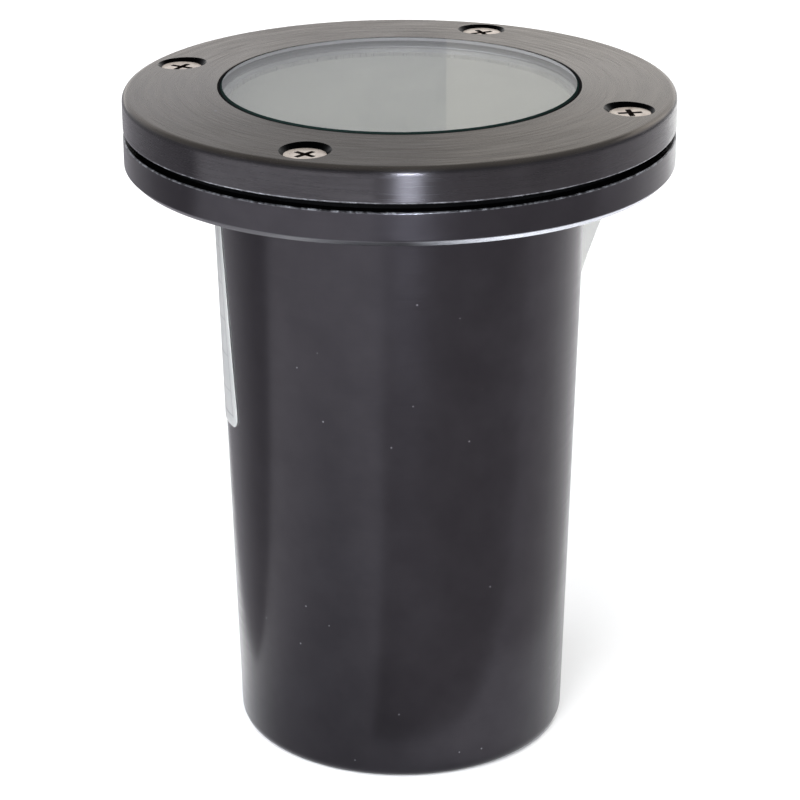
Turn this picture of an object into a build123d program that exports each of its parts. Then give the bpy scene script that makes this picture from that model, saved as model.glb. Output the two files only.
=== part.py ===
from build123d import *
import math
import os

# In-ground well light. Millimetres, +Z up, origin at the centre of the foot, the lens faces +Z.

overcut = 1.0                    # how far a cut runs past the face that it opens

# ---- Lamp and its socket (standard 50 mm reflector lamp with two pins) ----
lamp_face_radius = 25.0          # rim of the lamp
lamp_rim_height = 2.5
lamp_rim_step = 2.2              # rim beyond the heat sink below it
lamp_tail_radius = 11.0          # heat sink at its lower end
lamp_sink_height = 33.5
lamp_core_inset = 4.5            # depth of the slots between the fins
lamp_fin_count = 18
lamp_slot_width = 2.6
lamp_base_radius = 9.5
lamp_base_height = 8.0
lamp_optic_radius = 22.0
lamp_lens_count = 6              # small lenses round the middle one
lamp_lens_radius = 6.6
lamp_lens_margin = 1.7           # outer lenses to the edge of the optic
lamp_optic_depth = 1.2           # how deep the optic sits in the rim
lamp_optic_dome = 0.6            # how far the small lenses stand out
pin_radius = 0.75
pin_spacing = 5.33
pin_length = 7.0
socket_length = 17.0
socket_width = 9.6
socket_height = 15.5
contact_wall = 0.6
contact_length = 8.0
contact_clearance = 0.1

# ---- Gimbal ring, its pivots and the bracket ----
rim_clearance = 0.3              # lamp rim to gimbal ring
gimbal_wall = 2.0
gimbal_above_face = 1.5          # ring stands this far above the lamp's face
gimbal_height = 12.0
gimbal_lip_clearance = 0.7       # lip to the lamp's heat sink
gimbal_lip_height = 1.5
pivot_pad_radius = 5.0
pivot_pad_proud = 0.3
pivot_below_face = 6.0           # pivot axis below the lamp's face
pivot_radius = 1.95
pivot_hole_clearance = 0.07
pivot_thread_fit = 0.05
pivot_head_radius = 3.6
pivot_head_height = 2.0
pivot_slot_width = 0.8
pivot_slot_depth = 0.8
pivot_washer_radius = 4.2
pivot_washer_thickness = 0.6
clip_wire_radius = 0.7
clip_gap_angle = 40.0
clip_clearance = 0.1
bracket_thickness = 1.5
bracket_leg_width = 12.0
bracket_bend_radius = 2.0
bracket_disc_margin = 2.0        # disc round the gland thread, beyond the locknut's corners
bracket_wall_room = 4.4          # bracket to the can's inside wall at the foot

# ---- Cable gland, M16 ----
gland_thread_radius = 7.95
gland_bore_radius = 4.7
gland_hole_clearance = 0.1
gland_flats = 21.0               # across flats of the body and the cap nut
gland_hex_height = 5.0
gland_neck_radius = 7.0
gland_neck_length = 8.0
gland_thread_proud = 1.0         # thread above the locknut
gland_cap_height = 12.0
gland_cap_clearance = 0.3
gland_cap_gap = 0.3              # cap nut to the hexagon of the body
gland_cap_mouth_radius = 4.2
gland_cap_wall_end = 1.6         # thickness of the cap nut round its mouth
gland_ring_thickness = 1.6       # flat of the O-ring under the floor
gland_ring_width = 2.0
seal_bore_radius = 3.2           # takes a round cable of about 6 mm
seal_wall_clearance = 0.15
seal_length = 9.0
locknut_flats = 21.0
locknut_height = 4.5
swivel_washer_width = 3.0
swivel_washer_thickness = 0.8
foot_clearance = 3.2             # cap nut above the ground

# ---- Terminal block and internal leads ----
block_width = 11.0               # along the bracket, away from the centre
block_depth = 12.0
block_height = 10.0
block_gap = 0.4                  # block to the bend of the bracket's leg
block_edge_round = 0.8
pole_spacing = 5.33
clamp_radius = 1.9
clamp_clearance = 0.1
clamp_height = 8.0
clamp_bore_radius = 1.1
block_screw_radius = 1.3
block_screw_inset = 0.4
block_screw_height = 3.4         # above the bracket
supply_entry_height = 7.2        # holes for the cores of the supply cable
lead_radius = 0.9
lead_straight = 10.0             # length of each lead's end run
lead_grip = 1.0                  # how far a lead enters the socket and the block
lead_hole_clearance = 0.15
wiring_room = 33.1               # bracket to the underside of the socket

# ---- Can and flange ----
can_wall = 3.0
foot_wall = 6.0
can_taper = 3.7                  # the can's radius grows by this much over its height
floor_thickness = 5.0
can_foot_round = 2.4
lamp_setback = 18.0              # lamp face to the top of the flange
flange_thickness = 7.5
flange_edge = 7.9                # screw circle to the flange's rim
flange_top_chamfer = 0.3
flange_foot_chamfer = 1.3
mouth_clearance = 1.2            # flange round and under the lens retainer

# ---- Cover: bezel, lens, gaskets, diffuser ----
cover_gap = 1.6                  # dark gap between bezel and flange: the flat gasket's thickness
bezel_thickness = 8.4
bezel_crown = 0.85               # the top falls this much from its bore to its rim
bezel_rim_round = 0.9
bezel_foot_chamfer = 0.4
bezel_shoulder = 3.2             # depth of the bezel's upper bore, down to the shoulder
bezel_bore_step = 1.6            # bezel bore beyond the can's mouth radius
lens_proud = 0.25                # glass above the bezel's bore edge
lens_thickness = 6.0
lens_shoulder_drop = 0.7         # gasket thickness between the shoulder and the glass step
lens_step = 4.5                  # width of the clamped step of the glass
lens_edge_chamfer = 0.3
lens_gasket_lip = 0.6            # thin black line round the glass
lens_gasket_wall = 1.1
lens_gasket_base = 0.7
lens_gasket_reach = 2.8          # how far the gasket runs under the glass
gasket_fit = 0.05
retainer_fit = 0.05
retainer_inset = 1.2             # retainer bore, inside the bezel's bore
diffuser_drop = 2.8              # underside of the glass to the top of the diffuser
diffuser_thickness = 2.0
diffuser_clearance = 0.3
diffuser_ledge = 1.9
diffuser_ledge_height = 1.2
diffuser_clip_width = 0.9
diffuser_clip_height = 0.8
spanner_slot_width = 4.0
spanner_slot_depth = 1.2
flat_gasket_gap = 0.5            # flat gasket to the flange's mouth
flat_gasket_inset = 2.6          # flat gasket behind the flange's rim

# ---- Cover screws, M5 countersunk ----
screw_circle_offset = 6.45       # screw circle beyond the flange's mouth
screw_count = 4
screw_first_angle = -21.5
screw_head_radius = 4.45
screw_sink = 0.8                 # head below the bezel's top
screw_rim = 0.25
screw_seat_gap = 0.15
screw_shank_radius = 2.45
screw_thread_clearance = 0.05
screw_hole_clearance = 0.3
screw_length = 15.0
screw_tip_chamfer = 0.5
screw_recess_span = 5.2          # cross recess, tip to tip
screw_recess_width = 1.1
screw_recess_depth = 1.5
screw_recess_angles = [8.0, 25.0, 60.0, 47.0]
insert_wall = 1.0
insert_fit = 0.02
insert_rim = 0.3
gasket_hole_clearance = 0.5

# ---- Label, a flat strip wrapped round the can ----
label_length = 127.0
label_height = 50.8
label_thickness = 0.15
label_standoff = 0.15
label_start_angle = -155.2       # azimuth of its lower front corner
label_start_height = 75.8        # height of that corner
label_lean = 6.4                 # degrees that the strip leans back
label_peel_length = 24.0         # stretch at the far end that has come off
label_peel_height = 32.0
label_peel_lift = 8.6            # how far its top corner stands off the can

# ---- Radii that follow from the sizes above ----
lamp_neck_radius = lamp_face_radius - lamp_rim_step
lamp_lens_circle = lamp_optic_radius - lamp_lens_margin - lamp_lens_radius
gimbal_bore = lamp_face_radius + rim_clearance
gimbal_lip_bore = lamp_neck_radius + gimbal_lip_clearance
gimbal_radius = gimbal_bore + gimbal_wall
pivot_pad_face = gimbal_radius + pivot_pad_proud
leg_inner = pivot_pad_face + pivot_washer_thickness
leg_outer = leg_inner + bracket_thickness
cavity_foot_radius = leg_outer + bracket_wall_room
cavity_mouth_radius = cavity_foot_radius + can_taper
can_foot_radius = cavity_foot_radius + can_wall
can_top_radius = cavity_mouth_radius + can_wall
foot_bore_radius = can_foot_radius - foot_wall
bezel_bore = cavity_mouth_radius + bezel_bore_step
lens_radius = bezel_bore - lens_gasket_lip - gasket_fit
lens_step_radius = lens_radius + lens_step
lens_gasket_radius = lens_step_radius + gasket_fit + lens_gasket_wall
bezel_counterbore = lens_gasket_radius + gasket_fit
retainer_radius = bezel_counterbore - retainer_fit
retainer_bore = bezel_bore - retainer_inset
diffuser_radius = retainer_bore - diffuser_clearance
mouth_radius = bezel_counterbore + mouth_clearance
screw_circle = mouth_radius + screw_circle_offset
rim_radius = screw_circle + flange_edge
locknut_corner = locknut_flats / 2 / math.cos(math.radians(30))
gland_corner = gland_flats / 2 / math.cos(math.radians(30))
bracket_disc_radius = locknut_corner + bracket_disc_margin
insert_radius = screw_shank_radius + screw_thread_clearance + insert_wall

# ---- Heights that follow, from the ground up ----
cap_top = foot_clearance + gland_cap_height
hex_foot = cap_top + gland_cap_gap
hex_top = hex_foot + gland_hex_height
floor_under = hex_top + gland_ring_thickness
floor_top = floor_under + floor_thickness
bracket_foot = floor_top + swivel_washer_thickness
bracket_floor = bracket_foot + bracket_thickness
gland_top = bracket_floor + locknut_height + gland_thread_proud
socket_foot = bracket_floor + wiring_room
socket_top = socket_foot + socket_height
lamp_base_top = socket_top + lamp_base_height
rim_foot = lamp_base_top + lamp_sink_height
lamp_face = rim_foot + lamp_rim_height
pivot_height = lamp_face - pivot_below_face
flange_top = lamp_face + lamp_setback
flange_foot = flange_top - flange_thickness
bezel_foot = flange_top + cover_gap
bezel_top = bezel_foot + bezel_thickness
bezel_rim_top = bezel_top - bezel_crown
shoulder = bezel_top - bezel_shoulder
lens_top = bezel_top + lens_proud
lens_step_top = shoulder - lens_shoulder_drop
lens_foot = lens_top - lens_thickness
retainer_top = lens_foot - lens_gasket_base - gasket_fit
diffuser_top = lens_foot - diffuser_drop
diffuser_foot = diffuser_top - diffuser_thickness
retainer_foot = diffuser_foot - diffuser_ledge_height
mouth_floor = retainer_foot - mouth_clearance
crown_slope = bezel_crown / (rim_radius - bezel_rim_round - bezel_bore)
screw_head_top = bezel_top - crown_slope * (screw_circle - bezel_bore) - screw_sink
block_centre = leg_inner - bracket_bend_radius - block_gap - block_width / 2

screw_places = [screw_first_angle + i * 360 / screw_count for i in range(screw_count)]


def turned(points):
    """A ring or cone turned about the Z axis from an outline of (radius, height) points."""
    outline = Polyline(*[(r, 0, z) for r, z in points], close=True)
    return revolve(make_face(outline), axis=Axis.Z)


def upright(radius, foot, top, x=0.0, y=0.0):
    """An upright cylinder from foot to top."""
    return Pos(x, y, foot) * Cylinder(radius, top - foot, align=(Align.CENTER, Align.CENTER, Align.MIN))


def along_x(radius, start, end, y=0.0, z=0.0):
    """A cylinder along X from start to end."""
    middle = (start + end) / 2
    return Pos(middle, y, z) * Rot(0, 90, 0) * Cylinder(radius, abs(end - start))


def block(x0, x1, y0, y1, z0, z1):
    """A box between two corners."""
    centre = Pos((x0 + x1) / 2, (y0 + y1) / 2, (z0 + z1) / 2)
    return centre * Box(x1 - x0, y1 - y0, z1 - z0)


def hexagon(flats, foot, top):
    """A hexagonal bar about Z, flats across the given distance."""
    corner = flats / 2 / math.cos(math.radians(30))
    return Pos(0, 0, foot) * extrude(RegularPolygon(corner, 6), top - foot)


def on_circle(shape, radius, angle):
    """Places a shape made about the Z axis on a circle of the given radius."""
    return Rot(0, 0, angle) * Pos(radius, 0, 0) * shape


def edges_at(shape, height, radius):
    """The full circles of the given radius at the given height."""
    circles = shape.edges().filter_by(GeomType.CIRCLE)
    near = 0.01
    return [e for e in circles if abs(e.radius - radius) < near and abs(e.center().Z - height) < near]


def housing():
    """Tapered can, floor and flange in one casting, with the holes for the screw inserts."""
    gland_hole = gland_thread_radius + gland_hole_clearance
    cavity_floor = cavity_foot_radius + can_taper * floor_top / flange_foot
    body = turned([
        (foot_bore_radius, 0),
        (can_foot_radius, 0),
        (can_top_radius, flange_foot),
        (rim_radius - flange_foot_chamfer, flange_foot),
        (rim_radius, flange_foot + flange_foot_chamfer),
        (rim_radius, flange_top - flange_top_chamfer),
        (rim_radius - flange_top_chamfer, flange_top),
        (mouth_radius, flange_top),
        (mouth_radius, mouth_floor),
        (cavity_mouth_radius, mouth_floor),
        (cavity_floor, floor_top),
        (gland_hole, floor_top),
        (gland_hole, floor_under),
        (foot_bore_radius, floor_under),
    ])
    body = fillet(edges_at(body, 0, can_foot_radius), can_foot_round)
    for angle in screw_places:
        hole = upright(insert_radius, flange_foot - overcut, flange_top + overcut)
        body -= on_circle(hole, screw_circle, angle)
    return body


def thread_inserts():
    """Threaded bushes pressed into the flange, one for each cover screw."""
    bore = screw_shank_radius + screw_thread_clearance
    bush = upright(insert_radius - insert_fit, flange_foot + insert_rim, flange_top - insert_rim)
    bush -= upright(bore, flange_foot, flange_top)
    return [on_circle(bush, screw_circle, angle) for angle in screw_places]


def flange_gasket():
    """Flat gasket that fills the gap between bezel and flange, holed for the screws."""
    outer = rim_radius - flat_gasket_inset
    inner = mouth_radius + flat_gasket_gap
    ring = upright(outer, flange_top, bezel_foot) - upright(inner, flange_top, bezel_foot)
    for angle in screw_places:
        hole = upright(screw_shank_radius + gasket_hole_clearance, flange_top - overcut, bezel_foot + overcut)
        ring -= on_circle(hole, screw_circle, angle)
    return ring


def bezel_ring():
    """Turned ring with a crowned top, a shoulder for the glass and four countersunk holes."""
    ring = turned([
        (bezel_counterbore, bezel_foot),
        (rim_radius - bezel_foot_chamfer, bezel_foot),
        (rim_radius, bezel_foot + bezel_foot_chamfer),
        (rim_radius, bezel_rim_top),
        (bezel_bore, bezel_top),
        (bezel_bore, shoulder),
        (bezel_counterbore, shoulder),
    ])
    ring = fillet(edges_at(ring, bezel_rim_top, rim_radius), bezel_rim_round)
    hole = screw_shank_radius + screw_hole_clearance
    seat = screw_head_radius + screw_seat_gap
    cone_foot = screw_head_top - screw_rim - (seat - hole)
    cone_top = bezel_top + overcut
    sink = turned([
        (0, bezel_foot - overcut),
        (hole, bezel_foot - overcut),
        (hole, cone_foot),
        (hole + cone_top - cone_foot, cone_top),
        (0, cone_top),
    ])
    for angle in screw_places:
        ring -= on_circle(sink, screw_circle, angle)
    return ring


def cross_recess():
    """Tapered cross that is cut into a screw head, its floor at Z = 0 below the head's top."""
    span = screw_recess_span / 2
    width = screw_recess_width / 2
    arm = make_face(Polyline(
        (-span, 0, 0), (span, 0, 0), (width, 0, -screw_recess_depth), (-width, 0, -screw_recess_depth),
        close=True,
    ))
    arm = extrude(arm, amount=width, both=True)
    return arm + Rot(0, 0, 90) * arm


def cover_screws():
    """Four countersunk screws with a cross recess."""
    cone_foot = screw_head_top - screw_rim - (screw_head_radius - screw_shank_radius)
    tip = screw_head_top - screw_length
    screw = turned([
        (0, tip),
        (screw_shank_radius - screw_tip_chamfer, tip),
        (screw_shank_radius, tip + screw_tip_chamfer),
        (screw_shank_radius, cone_foot),
        (screw_head_radius, screw_head_top - screw_rim),
        (screw_head_radius, screw_head_top),
        (0, screw_head_top),
    ])
    screws = []
    for place, turn in zip(screw_places, screw_recess_angles):
        cut = Pos(0, 0, screw_head_top) * Rot(0, 0, turn - place) * cross_recess()
        screws.append(on_circle(screw - cut, screw_circle, place))
    return screws


def lens():
    """Clear stepped glass, flush in the bezel and clamped by its step."""
    return turned([
        (0, lens_foot),
        (lens_step_radius, lens_foot),
        (lens_step_radius, lens_step_top),
        (lens_radius, lens_step_top),
        (lens_radius, lens_top - lens_edge_chamfer),
        (lens_radius - lens_edge_chamfer, lens_top),
        (0, lens_top),
    ])


def lens_gasket():
    """Moulded gasket round the glass: a lip to the top, over the step and under the glass."""
    lip = lens_radius + gasket_fit
    inner_wall = lens_step_radius + gasket_fit
    under = lens_step_radius - lens_gasket_reach
    return turned([
        (lip, lens_step_top + gasket_fit),
        (inner_wall, lens_step_top + gasket_fit),
        (inner_wall, lens_foot),
        (under, lens_foot),
        (under, lens_foot - lens_gasket_base),
        (lens_gasket_radius, lens_foot - lens_gasket_base),
        (lens_gasket_radius, shoulder - gasket_fit),
        (bezel_bore - gasket_fit, shoulder - gasket_fit),
        (bezel_bore - gasket_fit, lens_top - lens_edge_chamfer),
        (lip, lens_top - lens_edge_chamfer),
    ])


def lens_retainer():
    """Turned ring screwed into the bezel from below: it clamps the glass and holds the diffuser."""
    ledge_bore = diffuser_radius - diffuser_ledge
    ring = turned([
        (ledge_bore, retainer_foot),
        (retainer_radius - bezel_foot_chamfer, retainer_foot),
        (retainer_radius, retainer_foot + bezel_foot_chamfer),
        (retainer_radius, retainer_top),
        (retainer_bore, retainer_top),
        (retainer_bore, diffuser_foot),
        (ledge_bore, diffuser_foot),
    ])
    reach = retainer_radius + overcut
    slot_top = retainer_foot + spanner_slot_depth
    half = spanner_slot_width / 2
    slot = block(retainer_bore, reach, -half, half, retainer_foot - overcut, slot_top)
    return ring - slot - Rot(0, 0, 180) * slot


def diffuser():
    """Frosted disc that lies on the retainer's ledge."""
    return upright(diffuser_radius, diffuser_foot, diffuser_top)


def diffuser_clip():
    """Split spring ring that holds the diffuser down in the retainer."""
    outer = retainer_bore - diffuser_clearance / 2
    top = diffuser_top + diffuser_clip_height
    ring = upright(outer, diffuser_top, top)
    ring -= upright(outer - diffuser_clip_width, diffuser_top, top)
    half = spanner_slot_width / 2
    gap = block(0, outer + overcut, -half, half, diffuser_top - overcut, top + overcut)
    return ring - gap


def label_point(along, up):
    """A point of the label's inner face. The strip is straight on the can unrolled to a flat sector."""
    half_angle = math.atan2(can_taper, flange_foot)
    start_radius = can_foot_radius + can_taper * label_start_height / flange_foot
    lean = math.radians(label_lean)
    reach = start_radius / math.sin(half_angle)
    across = along * math.cos(lean) + up * math.sin(lean)
    away = reach + up * math.cos(lean) - along * math.sin(lean)
    slant = math.hypot(across, away)
    turn = math.atan2(across, away) / math.sin(half_angle)
    past = (along - (label_length - label_peel_length)) / label_peel_length
    high = (up - label_height) / label_peel_height
    lift = label_peel_lift * max(0.0, past + high) ** 1.5
    radius = slant * math.sin(half_angle) + label_standoff + lift
    height = label_start_height + (slant - reach) * math.cos(half_angle)
    angle = math.radians(label_start_angle) - turn
    return Vector(radius * math.cos(angle), radius * math.sin(angle), height)


def rating_label():
    """Plain sticker: straight strips of its surface, skinned and given the sheet's thickness."""
    columns = 33
    rows = 9
    grid = [
        [label_point(label_length * i / (columns - 1), label_height * j / (rows - 1)) for i in range(columns)]
        for j in range(rows)
    ]
    face = Face.make_surface_from_array_of_points(grid)
    return Solid.thicken(face, label_thickness)


def gland_body():
    """Hexagonal gland body under the floor with its thread up through floor and bracket."""
    neck_foot = hex_foot - gland_neck_length
    body = hexagon(gland_flats, hex_foot, hex_top)
    body += upright(gland_thread_radius, hex_top, gland_top)
    body += upright(gland_neck_radius, neck_foot, hex_foot)
    return body - upright(gland_bore_radius, neck_foot - overcut, gland_top + overcut)


def gland_o_ring():
    """Ring pressed flat between the gland's hexagon and the floor."""
    inner = gland_thread_radius + gland_hole_clearance
    ring = upright(inner + gland_ring_width, hex_top, floor_under)
    return ring - upright(inner, hex_top, floor_under)


def gland_seal():
    """Rubber sleeve inside the neck that grips the cable."""
    neck_foot = hex_foot - gland_neck_length
    outer = gland_bore_radius - seal_wall_clearance
    sleeve = upright(outer, neck_foot, neck_foot + seal_length)
    return sleeve - upright(seal_bore_radius, neck_foot - overcut, neck_foot + seal_length + overcut)


def gland_cap_nut():
    """Hexagonal cap nut that squeezes the seal."""
    neck_foot = hex_foot - gland_neck_length
    nut = hexagon(gland_flats, foot_clearance, cap_top)
    dome = turned([
        (0, foot_clearance),
        (gland_flats / 2 - gland_cap_wall_end, foot_clearance),
        (gland_corner, foot_clearance + gland_cap_wall_end * 2),
        (gland_corner, cap_top),
        (0, cap_top),
    ])
    nut = nut & dome
    nut -= upright(gland_neck_radius + gland_cap_clearance, neck_foot - gland_cap_clearance, cap_top + overcut)
    return nut - upright(gland_cap_mouth_radius, foot_clearance - overcut, cap_top + overcut)


def gland_locknut():
    """Locknut inside the can: it clamps the gland and the bracket to the floor."""
    nut = hexagon(locknut_flats, bracket_floor, bracket_floor + locknut_height)
    bore = gland_thread_radius + gland_hole_clearance / 2
    return nut - upright(bore, bracket_floor - overcut, gland_top + overcut)


def swivel_washer():
    """Flat washer that the bracket turns on."""
    inner = gland_thread_radius + gland_hole_clearance
    ring = upright(inner + swivel_washer_width, floor_top, bracket_foot)
    return ring - upright(inner, floor_top, bracket_foot)


def gimbal_bracket():
    """Bent steel strip: a disc round the gland thread and a leg up to each pivot."""
    half = bracket_leg_width / 2
    strip = block(-leg_outer, leg_outer, -half, half, bracket_foot, pivot_height)
    strip = fillet(strip.edges().filter_by(Axis.Y).group_by(Axis.Z)[0], bracket_bend_radius + bracket_thickness)
    wide = half + overcut
    hollow = block(-leg_inner, leg_inner, -wide, wide, bracket_floor, pivot_height + overcut)
    lower = hollow.edges().filter_by(Axis.Y).group_by(Axis.Z)[0]
    strip -= fillet(lower, bracket_bend_radius)
    strip += upright(bracket_disc_radius, bracket_foot, bracket_floor)
    for side in (-1, 1):
        strip += along_x(half, side * leg_inner, side * leg_outer, z=pivot_height)
        pivot_hole = pivot_radius + pivot_hole_clearance
        strip -= along_x(pivot_hole, side * (leg_inner - overcut), side * (leg_outer + overcut), z=pivot_height)
    bore = gland_thread_radius + gland_hole_clearance
    return strip - upright(bore, bracket_foot - overcut, bracket_floor + overcut)


def gimbal_ring():
    """Ring that carries the lamp's rim on a lip, with a flat pad at each pivot."""
    foot = lamp_face + gimbal_above_face - gimbal_height
    top = lamp_face + gimbal_above_face
    ring = upright(gimbal_radius, foot, top)
    for side in (-1, 1):
        ring += along_x(pivot_pad_radius, 0, side * pivot_pad_face, z=pivot_height)
    ring -= upright(gimbal_bore, foot - pivot_pad_radius, top + overcut)
    lip = upright(gimbal_bore + gimbal_wall / 2, rim_foot - gimbal_lip_height, rim_foot)
    lip -= upright(gimbal_lip_bore, foot, top)
    ring += lip
    for side in (-1, 1):
        start = side * (gimbal_bore - overcut)
        ring -= along_x(pivot_radius, start, side * (pivot_pad_face + overcut), z=pivot_height)
    return ring


def pivot_screws():
    """Two shoulder screws that the gimbal ring tilts on."""
    screws = []
    for side in (-1, 1):
        head_end = leg_outer + pivot_head_height
        shank = along_x(pivot_radius - pivot_thread_fit, side * gimbal_bore, side * leg_outer, z=pivot_height)
        head = along_x(pivot_head_radius, side * leg_outer, side * head_end, z=pivot_height)
        slot_floor = head_end - pivot_slot_depth
        near, far = sorted((side * slot_floor, side * (head_end + overcut)))
        slot = block(
            near, far, -pivot_head_radius - overcut, pivot_head_radius + overcut,
            pivot_height - pivot_slot_width / 2, pivot_height + pivot_slot_width / 2,
        )
        screws.append(shank + head - slot)
    return screws


def pivot_washers():
    """Friction washers between the gimbal ring's pads and the bracket's legs."""
    washers = []
    for side in (-1, 1):
        ring = along_x(pivot_washer_radius, side * pivot_pad_face, side * leg_inner, z=pivot_height)
        hole = pivot_radius + pivot_hole_clearance
        start = side * (pivot_pad_face - overcut)
        washers.append(ring - along_x(hole, start, side * (leg_inner + overcut), z=pivot_height))
    return washers


def lamp_clip():
    """Open spring ring above the lamp's rim."""
    path_radius = gimbal_bore - clip_clearance - clip_wire_radius
    height = lamp_face + clip_wire_radius
    wire = Pos(path_radius, 0, height) * Rot(90, 0, 0) * Circle(clip_wire_radius)
    ring = revolve(wire, axis=Axis.Z, revolution_arc=360 - clip_gap_angle)
    return Rot(0, 0, 90 + clip_gap_angle / 2) * ring


def lamp_body():
    """Finned heat sink with the lamp's rim."""
    sink_foot = lamp_base_top
    body = turned([
        (0, sink_foot),
        (lamp_tail_radius, sink_foot),
        (lamp_neck_radius, rim_foot),
        (lamp_face_radius, rim_foot),
        (lamp_face_radius, lamp_face),
        (lamp_optic_radius, lamp_face),
        (lamp_optic_radius, lamp_face - lamp_optic_depth),
        (0, lamp_face - lamp_optic_depth),
    ])
    core = turned([
        (lamp_tail_radius - lamp_core_inset, sink_foot),
        (lamp_neck_radius + overcut, sink_foot),
        (lamp_neck_radius + overcut, rim_foot - lamp_rim_height),
        (lamp_neck_radius - lamp_core_inset, rim_foot - lamp_rim_height),
    ])
    reach = lamp_neck_radius + 2 * overcut
    slot = block(0, reach, -lamp_slot_width / 2, lamp_slot_width / 2, sink_foot, rim_foot) & core
    for i in range(lamp_fin_count):
        body -= Rot(0, 0, i * 360 / lamp_fin_count) * slot
    return body


def lamp_optic():
    """Moulded front optic with a centre lens and six round it."""
    foot = lamp_face - lamp_optic_depth
    optic = upright(lamp_optic_radius - clip_clearance, foot, lamp_face - lamp_optic_dome)
    ball = (lamp_lens_radius ** 2 + lamp_optic_dome ** 2) / (2 * lamp_optic_dome)
    cap = Pos(0, 0, lamp_face - ball) * Sphere(ball)
    cap = cap & upright(lamp_lens_radius + overcut, foot, lamp_face)
    optic += cap
    for i in range(lamp_lens_count):
        optic += on_circle(cap, lamp_lens_circle, i * 360 / lamp_lens_count)
    return optic


def lamp_base():
    """Plastic base of the lamp, which carries its pins."""
    base = upright(lamp_base_radius, socket_top, lamp_base_top)
    for side in (-1, 1):
        base -= upright(pin_radius, socket_top - overcut, socket_top + pin_radius * 2, y=side * pin_spacing / 2)
    return base


def lamp_pins():
    """Two pins from the lamp's base into the socket."""
    top = socket_top + pin_radius * 2
    return [upright(pin_radius, socket_top - pin_length, top, y=side * pin_spacing / 2) for side in (-1, 1)]


def lamp_socket():
    """Ceramic socket with rounded ends, a pocket for each contact and a hole for each lead."""
    outline = Rot(0, 0, 90) * SlotOverall(socket_length, socket_width)
    body = Pos(0, 0, socket_foot) * extrude(outline, socket_height)
    pocket = pin_radius + contact_clearance + contact_wall + contact_clearance
    for side in (-1, 1):
        y = side * pin_spacing / 2
        body -= upright(pocket, socket_top - contact_length, socket_top + overcut, y=y)
        hole = lead_radius + lead_hole_clearance
        body -= upright(hole, socket_foot - overcut, socket_foot + lead_grip + lead_hole_clearance, y=y)
    return body


def socket_contacts():
    """Sprung sleeves in the socket that grip the lamp's pins."""
    sleeves = []
    for side in (-1, 1):
        y = side * pin_spacing / 2
        bore = pin_radius + contact_clearance
        sleeve = upright(bore + contact_wall, socket_top - contact_length, socket_top - contact_wall, y=y)
        sleeves.append(sleeve - upright(bore, socket_top - contact_length - overcut, socket_top + overcut, y=y))
    return sleeves


def terminal_block():
    """Two-pole block that stands on the bracket beside its leg; the leads enter from above."""
    x0 = block_centre - block_width / 2
    x1 = block_centre + block_width / 2
    top = bracket_floor + block_height
    body = block(x0, x1, -block_depth / 2, block_depth / 2, bracket_floor, top)
    body = fillet(body.edges().filter_by(Axis.Z), block_edge_round)
    for side in (-1, 1):
        y = side * pole_spacing / 2
        body -= upright(clamp_radius + clamp_clearance, top - clamp_height, top + overcut, block_centre, y)
        screw_z = bracket_floor + block_screw_height
        body -= along_x(block_screw_radius + clamp_clearance, x0 - 1, block_centre, y, screw_z)
        body -= along_x(clamp_bore_radius, x0 - 1, block_centre, y, bracket_floor + supply_entry_height)
    return body


def terminal_clamps():
    """Brass tubes in the block, each bored for a lead."""
    top = bracket_floor + block_height
    foot = top - clamp_height
    screw_z = bracket_floor + block_screw_height
    clamps = []
    for side in (-1, 1):
        y = side * pole_spacing / 2
        tube = upright(clamp_radius, foot, top - clamp_clearance, block_centre, y)
        tube -= upright(clamp_bore_radius, foot + overcut, top + overcut, block_centre, y)
        inner = block_centre - clamp_radius - overcut
        tube -= along_x(block_screw_radius, inner, block_centre, y, screw_z)
        tube -= along_x(clamp_bore_radius, inner, block_centre, y, bracket_floor + supply_entry_height)
        clamps.append(tube)
    return clamps


def terminal_screws():
    """Slotted screws that pinch the leads in their clamps."""
    head = block_centre - block_width / 2 + block_screw_inset
    tip = block_centre - clamp_bore_radius
    screw_z = bracket_floor + block_screw_height
    half_slot = block_screw_radius / 4
    screws = []
    for side in (-1, 1):
        y = side * pole_spacing / 2
        screw = along_x(block_screw_radius - clamp_clearance, head, tip, y, screw_z)
        slot = block(
            head - overcut, head + 2 * half_slot, y - block_screw_radius, y + block_screw_radius,
            screw_z - half_slot, screw_z + half_slot,
        )
        screws.append(screw - slot)
    return screws


def lead_route(side):
    """Corner points of one internal lead, from the block up and over to the socket."""
    y = side * pole_spacing / 2
    top = bracket_floor + block_height
    return [
        (block_centre, y, top - lead_grip),
        (block_centre, y, top + lead_straight),
        (0, side * pin_spacing / 2, socket_foot - lead_straight),
        (0, side * pin_spacing / 2, socket_foot + lead_grip),
    ]


def lead_bends(points):
    """The largest radius that each corner's two runs leave room for."""
    bends = []
    for before, corner, after in zip(points, points[1:], points[2:]):
        first = Vector(*corner) - Vector(*before)
        second = Vector(*after) - Vector(*corner)
        run = min(first.length, second.length)
        bends.append(0.45 * run / math.tan(math.radians(first.get_angle(second)) / 2))
    return bends


def lamp_leads():
    """Two insulated leads between the terminal block and the lamp socket."""
    leads = []
    for side in (-1, 1):
        points = lead_route(side)
        bends = lead_bends(points)
        print("lead bend radii, mm:", [round(b, 1) for b in bends])
        path = FilletPolyline(*points, radius=bends)
        section = Plane(origin=points[0], z_dir=(0, 0, 1)) * Circle(lead_radius)
        leads.append(sweep(section, path=path))
    return leads


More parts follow.
